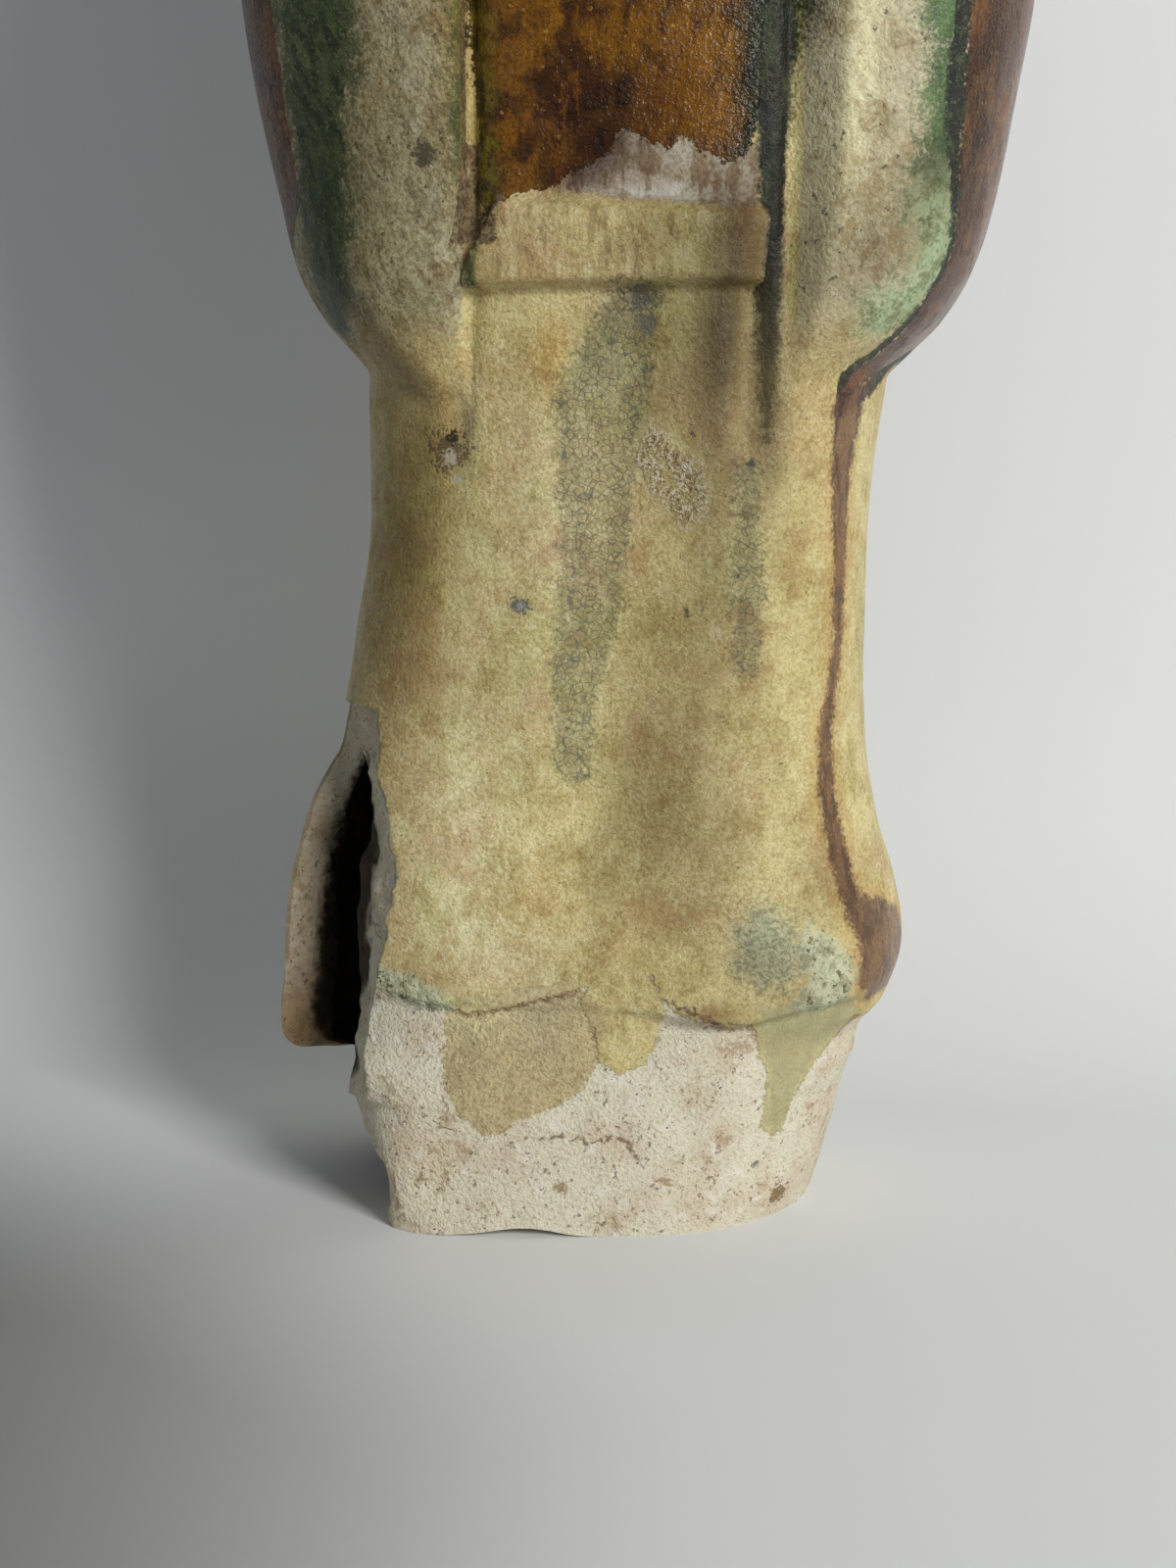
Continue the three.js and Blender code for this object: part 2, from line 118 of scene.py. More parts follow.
# outline of the robe's sleeves and shoulders: the same columns with one squareness
sleeves = [
    [164, 48, 51, 36, 37, 2.6],
    [178, 52, 57.5, 39.5, 39.5, 2.7],
    [184, 56.5, 63.5, 43, 41.5, 2.7],
    [190, 61.5, 69.5, 45.5, 42, 2.7],
    [200, 67, 75.5, 47.5, 42.5, 2.8],
    [215, 70.8, 80, 48.5, 43, 2.8],
    [235, 75.6, 83.5, 49.5, 43.5, 2.8],
    [258, 79.4, 87, 51, 44, 2.7],
    [300, 84, 91, 56, 45, 2.5],
    [335, 85.3, 92, 61, 45, 2.4],
    [352, 85, 91.7, 62, 45, 2.35],
    [372, 83, 90, 55, 45, 2.3],
    [392, 80, 87, 46, 44, 2.3],
    [415, 75, 82, 40, 42, 2.2],
    [432, 64, 71, 36, 39, 2.1],
    [444, 44, 51, 30, 34, 2.0],
    [451, 26, 33, 24, 27, 2.0],
    [458, 16, 23, 18, 20, 2.0],
    [472, 14.5, 21.5, 16.5, 18, 2.0],
]
# outline of the cap: height, half width, front, back, squareness
cap = [
    [512, 29.5, 31, 35, 2.2],
    [522, 31, 33, 36.5, 2.2],
    [529, 30, 31, 36.5, 2.2],
    [537, 27, 25, 35, 2.2],
    [545, 21, 12, 33, 2.3],
    [552, 18.5, 4, 31, 2.5],
    [564, 18, -2, 28, 2.6],
    [571, 15, -6, 24, 2.4],
    [575, 7, -10, 18, 2.2],
]
# long folds: turn, height from and to, lean in degrees over 100 mm, half width in degrees, depth
# those on both sides alike, with the right one's numbers
pairedFolds = [
    [169, 196, 410, -3, 8, 2.6], [146, 205, 425, -8, 8, 3.4], [120, 190, 300, -10, 8, 2.6],
    [158, 40, 176, -4, 8, 2.4], [135, 48, 176, -6, 8, 2.2], [49, 372, 436, 8, 7, 3.2],
    [78, 250, 345, -14, 8, 2.6],
]
singleFolds = [
    [180, 40, 176, 0, 7, 1.6], [40.4, 150, 212, -7, 4, 3.0], [-40, 148, 198, 0, 3.6, 1.5],
    [25, 66, 190, 0, 8, 0.6], [8, 60, 205, 4, 15, 2.8],
]
# tracks up the broken place: height, x, y
breakTop = 109.0
breakFar = 30.0  # how far the cutter reaches out beyond the wall
breakTracks = {
    "frontEdge": [[0, -40.4, -48], [7, -39.2, -48], [13, -40.9, -47], [18, -42, -46], [25, -44.6, -46],
        [31, -46.3, -45], [38, -46.2, -43], [44, -45.1, -41], [51, -45.6, -38], [57, -46.5, -35],
        [66, -46.1, -34], [78, -44.3, -34], [94, -45.5, -33], [109, -46, -32]],
    "frontLip": [[0, -43.1, -38.5], [5, -43.2, -38], [12, -44.6, -37.5], [20, -49, -37], [27, -53.2, -36],
        [33, -51.8, -35], [39, -51.6, -34], [44, -50.4, -32], [49, -52.2, -26], [61, -53.4, -26],
        [74, -51.8, -26], [80, -50.2, -26], [87, -49.2, -26], [109, -48, -26]],
    "middle": [[0, -38, -8], [34, -43, -8], [49, -50, -13], [77, -50, -13], [87, -51, -17],
        [96, -52.5, -19], [109, -53, -22]],
    "rearLip": [[0, -45, 9], [25, -50, 10], [29, -64, -6], [36, -63, -5], [49, -61, -4], [68, -61, -2],
        [77, -61.5, -2], [81, -58, -6], [88, -52.5, -10], [109, -52.5, -12]],
    "rearEdge": [[0, -62, 12], [25, -66, 13], [29, -76, -17], [49, -72.5, -17], [77, -69.5, -16],
        [87, -66, -11], [96, -61.5, -3], [109, -59, -4]],
}

# the frame puts the figure's outer box over the origin; this carries the outlines there
shift = np.array([
    figureLow[0] / mm + max(row[1] for row in sleeves),
    figureLow[1] / mm - (hands["y"] - hands["depth"] / 2),
    0.0,
])


def smooth(low, high, value):
    # rises from 0 to 1 between low and high with level ends
    t = np.clip((value - low) / (high - low), 0, 1)
    return t * t * (3 - 2 * t)


def bell(value):
    # one at zero, falling away on both sides as e to the minus square
    return np.exp(-value * value)


def along(stations, height, column):
    # a column of a station list at each height, on a cubic whose slopes are the harmonic means of the
    # steps on both sides, so it never overshoots
    table = np.array(stations, float)
    z, v = table[:, 0], table[:, column]
    slope = np.diff(v) / np.diff(z)
    before, after = slope[:-1], slope[1:]
    agree = before * after > 0
    mean = 2 * before * after / np.where(agree, before + after, 1)
    tangent = np.concatenate([slope[:1], np.where(agree, mean, 0), slope[-1:]])
    h = np.clip(height, z[0], z[-1])
    i = np.clip(np.searchsorted(z, h, side="right") - 1, 0, len(z) - 2)
    step = z[i + 1] - z[i]
    t = (h - z[i]) / step
    curve = step * t * (1 - t) * ((1 - t) * tangent[i] - t * tangent[i + 1])
    return v[i] + (v[i + 1] - v[i]) * t * t * (3 - 2 * t) + curve


def lumps(points, size, seed):
    # random hills from -1 to 1: values at the corners of a lattice, blended smoothly between
    place = np.asarray(points) / size
    low = np.floor(place).astype(np.int64)
    part = place - low
    part = part * part * (3 - 2 * part)
    total = np.zeros(place.shape[:-1])
    for corner in np.ndindex(2, 2, 2):
        # scrambles the corner's whole numbers into one, and takes its last 16 bits as the value
        code = (low + np.array(corner)) * [73856093, 19349663, 83492791]
        code = np.bitwise_xor.reduce(code, axis=-1) ^ (seed * 2654435)
        code = (code ^ (code >> 13)) * 1274126177
        value = ((code ^ (code >> 16)) & 0xFFFF) / 0xFFFF
        total += np.where(np.array(corner) > 0, part, 1 - part).prod(-1) * value
    return total * 2 - 1


def axisX(z):
    # x of the middle of the rings at each height
    return along(axis, z, 1)


def outline(stations, z, turn, inset=0.0):
    # superellipse by quarters: 1 / r to the n is the sum of the sine and cosine over each half axis, to the n
    if stations is gown:
        turn = turn - math.radians(figure["footTwist"]) * (1 - smooth(25, 60, z))
    across, ahead, x = np.sin(turn), np.cos(turn), axisX(z)
    side = np.where(across > 0, along(stations, z, 2) - x, along(stations, z, 1) + x) - inset
    depth = np.where(ahead > 0, along(stations, z, 3), along(stations, z, 4)) - inset
    n = np.where(across > 0, along(stations, z, len(stations[0]) - 1), along(stations, z, 5))
    return ((np.abs(across) / side) ** n + (np.abs(ahead) / depth) ** n) ** (-1 / n)


def panelTurns(z):
    # turns of the panel's two sides at a height; the panel closes in an arch under the forearms
    rise = np.clip((z - figure["archStart"]) / (figure["archTop"] - figure["archStart"]), 0, 1)
    narrow = np.sqrt(1 - rise * rise)
    depth, x = along(gown, z, 3), axisX(z)
    sides = [np.arctan2(np.maximum(1.5, figure[key] * narrow) * sign - x, depth)
             for key, sign in (("panelLeft", -1), ("panelRight", 1))]
    return sides[0], sides[1], depth


def ringTurns(z, counts):
    # turns of the columns at each height: the stops follow the panel's sides, the rest is even between stops
    left, right, depth = panelTurns(z)
    groove = figure["grooveWidth"] / depth
    step = groove + figure["stepWidth"] / depth
    full = np.full_like(z, math.pi)
    stops = [-full, -full / 2, left - step, left - groove, left, (left + right) / 2, right, right + groove,
             right + step, full / 2, full]
    parts = [a[:, None] + (b - a)[:, None] * np.arange(n) / n for a, b, n in zip(stops, stops[1:], counts)]
    return np.concatenate(parts, axis=1)


def foldedIn(z, turn):
    # sum of the long folds: each a bell across its leaning line, fading over 22 mm at both ends
    degrees = np.degrees(turn)
    total = np.zeros(np.broadcast(z, turn).shape)
    mirrored = [(-at, low, high, -lean, width, depth) for at, low, high, lean, width, depth in pairedFolds]
    for at, low, high, lean, width, depth in pairedFolds + mirrored + singleFolds:
        away = np.abs(degrees - at - lean * (z - (low + high) / 2) / 100) % 360
        near = np.minimum(away, 360 - away) / width
        total += depth * smooth(low, low + 22, z) * (1 - smooth(high - 22, high, z)) * bell(near)
    return total


def unevenness(points):
    # sum of the lumps: broad ones everywhere, and smaller ones on the bare foot
    body, foot = (sum(lumps(points, size, seed) * depth for size, depth, seed in pressing[key])
                  for key in ("body", "foot"))
    return body + foot * (1 - smooth(38, 50, points[..., 2]))


def bandLip(x, z):
    # how far the hem band stands out: full between its edges, which lean and tilt, with soft ends
    top = hemBand["high"] - hemBand["tilt"] * (x + hemBand["left"])
    level = smooth(hemBand["low"], hemBand["low"] + 2, z) * (1 - smooth(top - 4.5, top + 0.6, z))
    start = -hemBand["left"] - hemBand["lean"] * (1 - smooth(hemBand["low"] + 2, hemBand["high"] - 3, z))
    across = smooth(start - 2.5, start, x) * (1 - smooth(hemBand["right"], hemBand["right"] + 2, x))
    return hemBand["rise"] * level * across


def hemLip(x, z, ahead):
    # how far the gown's lower edge hangs over the foot: steep at its line, fading upwards and to the sides
    line = hem["line"] - hem["dip"] * bell((x - 28) / 13)
    level = smooth(line - 1, line + 1, z) * (1 - smooth(line + 2, line + hem["fade"], z))
    return (hem["rise"] + hem["riseRight"] * smooth(5, 22, x)) * level * smooth(0.1, 0.6, ahead)


def forearms(z, ahead):
    # a ridge that is a bell in height, wider above than below, and drops towards the sides
    offArm = z - arms["z"] + arms["slope"] * (1 - ahead)
    reach = np.where(offArm > 0, arms["above"], arms["below"])
    return arms["rise"] * bell(offArm / reach) * smooth(0.05, 0.7, ahead)


def bodyPoints(z, turn):
    # gown outline, plus the sleeves outside the panel, the hem, the hem band and the forearms, less the folds
    base = outline(gown, z, turn)
    x = axisX(z) + base * np.sin(turn)
    ahead = np.cos(turn)
    front = ahead > 0
    left, right, depth = panelTurns(z)
    outside = np.maximum(turn - right, left - turn) * depth
    away = outside - figure["grooveWidth"]
    closed = smooth(figure["archTop"] - 8, figure["archTop"] + 2, z)
    steep = sleeveEdge["steep"] + sleeveEdge["steeper"] * smooth(sleeveEdge["from"], sleeveEdge["to"], z)
    rounded = np.sin(np.clip(away / sleeveEdge["round"], 0, 1) * math.pi / 2)
    rounded = steep * smooth(0, figure["stepWidth"], away) + (1 - steep) * rounded
    cover = np.where(front, np.maximum(rounded, closed), 1)
    drop = np.where(front, sleeveEdge["drop"] * (1 - smooth(0.3, 1.2, np.abs(turn))), 0)
    lowered = z + drop * (1 - smooth(185, 215, z))  # height on the sleeve's own outline
    rise = np.maximum(0, outline(sleeves, lowered, turn) - base) * smooth(160, 174, lowered)
    groove = figure["grooveDepth"] * bell((outside - figure["grooveWidth"] / 2) / 1.2) * (1 - closed)
    groove = np.where(front, groove, 0) * smooth(170, 215, z)
    lip = np.where(front, bandLip(x, z), 0)
    radius = (base + rise * cover - groove + lip + hemLip(x, z, ahead)
              + forearms(z, ahead) * cover - foldedIn(z, turn))
    radius = radius + unevenness(np.stack([radius * np.sin(turn), radius * ahead, z + 0 * turn], axis=-1))
    # the left sleeve's edge rolls over the panel
    side = left - (figure["grooveWidth"] + figure["stepWidth"]) / depth
    toTarget = figure["rollLeft"] - axisX(z) - outline(sleeves, z, side) * np.sin(side)
    near = 1 - smooth(0, figure["rollReach"], away - figure["stepWidth"])
    near = near * cover * smooth(1, 10, rise) * smooth(184, 224, z)
    near = near * (1 - smooth(figure["archStart"], figure["archTop"] - 6, z))
    roll = np.where(front & (turn <= 0), toTarget * near, 0)
    chip = bell((np.degrees(turn) - figure["rimLiftTurn"]) / figure["rimLiftWidth"]) * (1 - smooth(0, 9, z))
    return ringPoints(axisX(z) + roll, 0, radius, radius, turn, z + figure["rimLift"] * chip)


def ringPoints(x, y, across, ahead, turn, z):
    # rings about a middle: the turn's sine times across to the side, its cosine times ahead to the front
    return np.stack([x + across * np.sin(turn), y - ahead * np.cos(turn), z + 0 * turn], axis=-1)


def meshFrom(name, points, faces, material):
    # object at the origin with its place in its mesh, from points in the outlines' millimetres
    mesh = bpy.data.meshes.new(name)
    mesh.from_pydata(((points + shift) * mm).tolist(), [], faces)
    mesh.validate()
    mesh.materials.append(material)
    obj = bpy.data.objects.new(name, mesh)
    bpy.context.scene.collection.objects.link(obj)
    return obj


def loft(name, grid, material):
    # closed skin through rings of points that run upwards, each turning to the right, with a fan at each end
    rows, count = grid.shape[:2]
    index = np.arange(rows * count).reshape(rows, count)
    after = np.roll(index, -1, axis=1)
    walls = np.stack([index[:-1], after[:-1], after[1:], index[1:]], axis=-1).reshape(-1, 4)
    hubs = grid[[0, -1]].mean(axis=1)
    low, high = rows * count, rows * count + 1
    ends = [[low, b, a] for a, b in zip(index[0].tolist(), after[0].tolist())]
    ends += [[high, a, b] for a, b in zip(index[-1].tolist(), after[-1].tolist())]
    return meshFrom(name, np.concatenate([grid.reshape(-1, 3), hubs]), walls.tolist() + ends, material)


def levels(*spans):
    # heights in even steps over spans given as from, to, count; the last end is added
    parts = [np.arange(count) / count * (to - start) + start for start, to, count in spans]
    return np.concatenate([*parts, [spans[-1][1]]])


def evenTurns(count):
    # even turns all the way round from the back, as one row
    return np.linspace(-math.pi, math.pi, count + 1)[None, :-1]


def poleLevels(count):
    # heights from -1 to 1 as a sine, close together at the poles, which stay just open, and the radius there
    v = np.sin(np.linspace(-1, 1, count) * math.pi / 2)[:, None] * 0.9995
    return v, np.sqrt(1 - v * v)


def bodyShape(material):
    # rings from the foot to the neck, closest at the foot, the hem and the hem band
    z = levels((0, 24, 18), (24, 40, 20), (40, 56, 20), (56, 192, 100), (192, 213, 26), (213, 345, 68),
               (345, 472, 50))
    return loft("figure", bodyPoints(z[:, None], ringTurns(z, figure["columns"])), material)


def hollowShape(material):
    # the gown's outline less the wall, closing at the top as a quarter circle
    plain, top, dome = figure["hollowPlain"], figure["hollowTop"], figure["hollowDome"]
    z = levels((-4, 30, 9), (30, 90, 24), (90, plain, 40), (plain, top, 16))[:, None]
    turn = evenTurns(72) + 0 * z
    rise = np.clip((z - top + dome) / dome, 0, 1)
    level = np.clip(z, 0, plain)
    wall = figure["wall"] + figure["hemWall"] * smooth(28, 36, level) * (1 - smooth(50, 72, level))
    radius = outline(gown, level, turn, wall) * np.maximum(0.12, np.sqrt(1 - rise * rise))
    return loft("hollow", ringPoints(axisX(z), 0, radius, radius, turn, z), material)


def onTrack(track, z):
    # x and y of a track at each height, straight between its points
    table = np.array(track, float)
    return np.stack([np.interp(z, table[:, 0], table[:, k]) for k in (1, 2)], axis=-1)


def breakShape(material):
    # cutter: at each height the five tracks and three far corners, with a rough face between the tracks
    z = levels((-4, breakTop, 113))
    at = {key: onTrack(track, z) for key, track in breakTracks.items()}

    def beyond(edge, lip):
        return edge + (edge - lip) / np.linalg.norm(edge - lip, axis=-1, keepdims=True) * breakFar

    frontFar = beyond(at["frontEdge"], at["frontLip"])
    rearFar = beyond(at["rearEdge"], at["rearLip"])
    corner = np.stack([rearFar[:, 0], frontFar[:, 1]], axis=-1)
    tracks = [at[key] for key in ("frontEdge", "frontLip", "middle", "rearLip", "rearEdge")]
    path = [corner, frontFar, *tracks, rearFar]
    counts = [1, 12, 9, 14, 14, 12, 12, 1]
    ring = [a[:, None] + (b - a)[:, None] * (np.arange(n) / n)[None, :, None]
            for a, b, n in zip(path, path[1:] + path[:1], counts)]
    plan = np.concatenate(ring, axis=1)
    grid = np.concatenate([plan, np.broadcast_to(z[:, None, None], plan.shape[:2] + (1,))], axis=-1)
    rough = [lumps(grid, 5, seed) * 0.9 + lumps(grid, 1.9, seed + 7) * 0.35 for seed in (1, 2, 3)]
    return loft("break", grid + np.stack(rough, axis=-1) * [1, 1, 0.8], material)


def carve(obj, other, operation):
    # joins or cuts one closed mesh with another, which is then removed
    cut = obj.modifiers.new(operation, "BOOLEAN")
    cut.operation = operation
    cut.solver = "MANIFOLD"
    cut.object = other
    bpy.context.view_layer.objects.active = obj
    bpy.ops.object.modifier_apply(modifier=cut.name)
    bpy.data.objects.remove(other)


def headShape(material):
    # ellipsoid that narrows to the jaw, with the face's forms as bells on its front
    v, level = poleLevels(89)
    turn = evenTurns(112)
    x, y = np.sin(turn) * level * (1 - 0.1 * smooth(0.1, 0.9, -v)), np.cos(turn) * level
    relief = 0
    for out, across, up, wide, high in faceForms.values():
        for side in {across, -across}:
            relief = relief + out * (y > 0) * bell((x - side) / wide) * bell((v - up) / high)
    grid = np.stack([head["x"] + x * head["width"] / 2,
                     head["y"] - y * head["depth"] / 2 - relief,
                     head["z"] + v * head["height"] / 2 + 0 * x], axis=-1)
    return loft("head", grid, material)


def capShape(material):
    # superellipse rings of the cap's stations
    z = levels((512, 545, 22), (545, 575, 20))[:, None]
    turn = evenTurns(72)
    side, front, back, n = (along(cap, z, k) for k in (1, 2, 3, 4))
    depth, middle = (front + back) / 2, (back - front) / 2
    r = ((np.abs(np.sin(turn)) / side) ** n + (np.abs(np.cos(turn)) / depth) ** n) ** (-1 / n)
    return loft("cap", ringPoints(head["x"], middle, r, r, turn, z), material)


def ballShape(name, size, x, y, z, material):
    # ellipsoid, with the fingers as a small cosine wave down its front where it has them
    v, level = poleLevels(31)
    turn = evenTurns(40)
    radius = level / 2 * (1 + size.get("fingers", 0) * np.cos(v * 13) * np.cos(turn / 2) ** 2)
    grid = ringPoints(x, y, size["width"] * radius, size["depth"] * radius, turn, z + v * size["height"] / 2)
    return loft(name, grid, material)


def collarShape(material):
    # ring of round sections: the section turns about the neck, and its points are the columns
    turn = np.linspace(0, 2 * math.pi, 73)[:-1, None]
    section = np.linspace(0, 2 * math.pi, 17)[None, :-1]
    r = collar["radius"] + collar["thick"] * np.cos(section)
    z = collar["z"] + 1.1 * collar["thick"] * np.sin(section)
    grid = ringPoints(collar["x"], collar["y"], r, 0.92 * r, turn, z)
    index = np.arange(grid.shape[0] * grid.shape[1]).reshape(grid.shape[:2])
    after, above = np.roll(index, -1, axis=1), np.roll(index, -1, axis=0)
    faces = np.stack([index, above, np.roll(above, -1, axis=1), after], axis=-1)
    return meshFrom("collar", grid.reshape(-1, 3), faces.reshape(-1, 4).tolist(), material)


# areas of the surface, as closed outlines of turn in degrees and height
areas = {
    "amber": [(-38, 334), (-36.5, 238), (-35.4, 229), (-33.4, 221), (-36, 217), (-35, 213), (-31.5, 206),
        (-30, 202.5), (-27.5, 206), (-25.5, 211.5), (-13.5, 213.2), (-7.7, 216), (-0.5, 218), (3, 222),
        (5.7, 223.5), (10.7, 221), (17, 220), (21, 221.8), (25.6, 219), (32.4, 217), (36.3, 218.3),
        (38, 226), (39, 334)],
    "slip": [(-13, 212), (-7.7, 217), (0, 219.5), (5.7, 225), (12, 222), (21, 223), (27, 220), (39, 220),
        (38.5, 208), (30, 208.3), (12.3, 209.6), (4.8, 210), (-3.7, 211.4)],
    "whitePatch": [(1.5, 213.5), (4, 216), (14, 214.6), (21.5, 212.9), (20, 210.4), (7, 210.6)],
    "barePanel": [(-38, 222), (-33.6, 221), (-34.2, 213), (-33, 207), (-34, 203), (-38, 203)],
    "greenLeft": [(-49, 344), (-49, 237.5), (-52.5, 227), (-53, 216), (-53, 205), (-55, 193), (-61, 186.5),
        (-66, 184), (-71, 188), (-68, 194), (-65.5, 204), (-66, 216), (-65, 227), (-64.5, 240), (-66, 344)],
    "greenRight": [(54, 344), (55.7, 245), (56.6, 235), (57.5, 226), (57.8, 214), (57.2, 208), (60, 201),
        (60.6, 194), (56.5, 190.5), (56, 186), (60, 183.5), (67, 187), (68, 195), (67.5, 203), (65, 212),
        (63.4, 222), (62.6, 236), (62.7, 344)],
    "mint": [(55, 192.5), (61, 200), (57, 207), (58.5, 213), (62, 214), (66, 205), (68, 197), (66, 190),
        (61, 183.5), (54.5, 187)],
    "greenLine": [(-33.6, 330), (-33.6, 247), (-34.2, 231), (-34.6, 214), (-34.4, 201), (-37, 187),
        (-37.5, 176), (-34, 176), (-34.2, 187), (-31.2, 201), (-31.2, 214), (-30.9, 230), (-30.4, 247),
        (-30.4, 330)],
    "groove": [(36, 330), (36.3, 246), (36.5, 236), (36.8, 227), (37.8, 220), (39.2, 205), (40.6, 192),
        (42.6, 176), (44, 163), (45.8, 163), (46, 176), (45.6, 191), (45.4, 205), (45.4, 214), (45.8, 223),
        (46.2, 236), (46.6, 247), (46.8, 330)],
    "crackle": [(2.6, 194), (-1, 188), (-7, 183), (-12.4, 177), (-12.2, 164), (-9.6, 142), (-8.9, 127),
        (-8.2, 115), (-7, 106), (-5.5, 97), (0, 95), (5.6, 96), (5.4, 110), (8.6, 122), (10.8, 133),
        (12.3, 148), (12.3, 163), (14.8, 177), (15, 186), (17, 194)],
    "crackleRight": [(37.6, 159), (39.6, 143), (40, 127), (42, 116), (46, 117), (47.4, 135), (45, 142),
        (42.5, 159)],
    "flake": [(12, 161), (15, 166.5), (19, 166), (23, 163), (29.5, 160), (32.5, 154), (31, 149),
        (27.7, 146.5), (24, 149.5), (20, 152), (16, 155.5)],
    "stripe": [(60.4, 173), (61.2, 164), (62.6, 154), (64.9, 141), (65.6, 121.6), (63.4, 106), (62.6, 92),
        (63.2, 82), (63.8, 74), (64.6, 68), (66.4, 61), (66, 52), (75, 52), (73.7, 60), (70.5, 66),
        (68, 72), (67.2, 81.5), (66.4, 92), (66.2, 106), (68.2, 121), (68.2, 141), (68, 158), (69, 168),
        (71, 177)],
    "hemBrown": [(66, 66), (70, 70), (76, 68), (84, 64), (88, 57), (84, 48), (74, 47), (67, 51)],
    "ochre": [(-32.5, 49), (-31.5, 40), (-29.5, 31), (-25.8, 25.7), (-21, 22), (-17, 22.5), (-13, 25),
        (-5, 27.5), (0, 29.5), (4.5, 33), (8, 37), (10, 48), (2, 55), (-20, 51)],
    "paleGreen": [(7, 57), (15.7, 57.5), (21, 57), (24.6, 50), (24.4, 43), (21, 37), (14, 35), (8, 37.5),
        (6.5, 44), (3, 50)],
    "thick": [(43, 50), (45.5, 47.5), (48, 41.6), (50.7, 35), (52, 28), (51.4, 22), (54.8, 19),
        (58.4, 20.5), (59.5, 27), (63.6, 34), (70.5, 39.4), (72, 44), (68, 50)],
    "teal": [(41, 66), (47, 71), (53, 67), (55, 60), (51, 53), (45, 53), (40, 57)],
    "crust": [(52, 60), (56, 66), (61, 62), (64.5, 54), (63, 47.5), (57, 46), (52, 49), (54, 55)],
    "mintHem": [(-48, 56), (-40, 54), (-33, 51), (-31, 47), (-38, 47), (-44, 50), (-49, 50)],
}
# lower edge of the glaze round the figure, by turn
glazeEdge = [(-180, 44), (-120, 45), (-80, 47), (-60, 51), (-47, 51), (-36, 48.6), (-26.6, 46.5),
    (-16.6, 48.4), (-5.8, 51), (10.4, 54.3), (15.7, 55.4), (22.3, 56.4), (25.5, 49.5), (32.4, 47),
    (41.6, 44), (49, 45.3), (57, 46), (64.7, 45.6), (73.4, 43), (90, 42), (130, 45), (180, 44)]
# lower edge of the brown robe by turn, round the back, and its front edge on each sleeve by height
robeEdge = [(60, 171.6), (70, 176), (80, 181), (90, 184), (130, 183), (180, 186), (230, 184), (270, 192),
    (285, 200), (293, 211), (296, 214)]
robeRight = [(171, 60), (176.6, 63), (181, 67), (185.6, 68.5), (192, 67.7), (197.5, 68.2), (203, 67.8),
    (213, 65.5), (220, 64.6), (231, 63.6), (246, 62.7), (344, 62), (352, 40), (360, 14)]
robeLeft = [(204, 294.5), (216, 294.5), (227, 295), (240, 295.6), (344, 294), (352, 320), (360, 346)]
# width of the black line along the robe's right edge, by height
borderWidth = [(171, 4.0), (178, 4.0), (184, 3.2), (190, 1.2), (204, 1.4), (216, 2.4), (222, 3.6), (344, 3.6)]
robeTop = 449.0
neckLine = 451.0  # bare clay above it
covered = {"front": -50.0, "low": 325.0, "high": 400.0}  # the hands are under the sleeves
bareSide = {"out": (0.8, 4.4), "turn": (-42, -27), "high": (202, 326)}  # left sleeve's inner side
arc = 0.85  # mm to a degree of turn on the gown

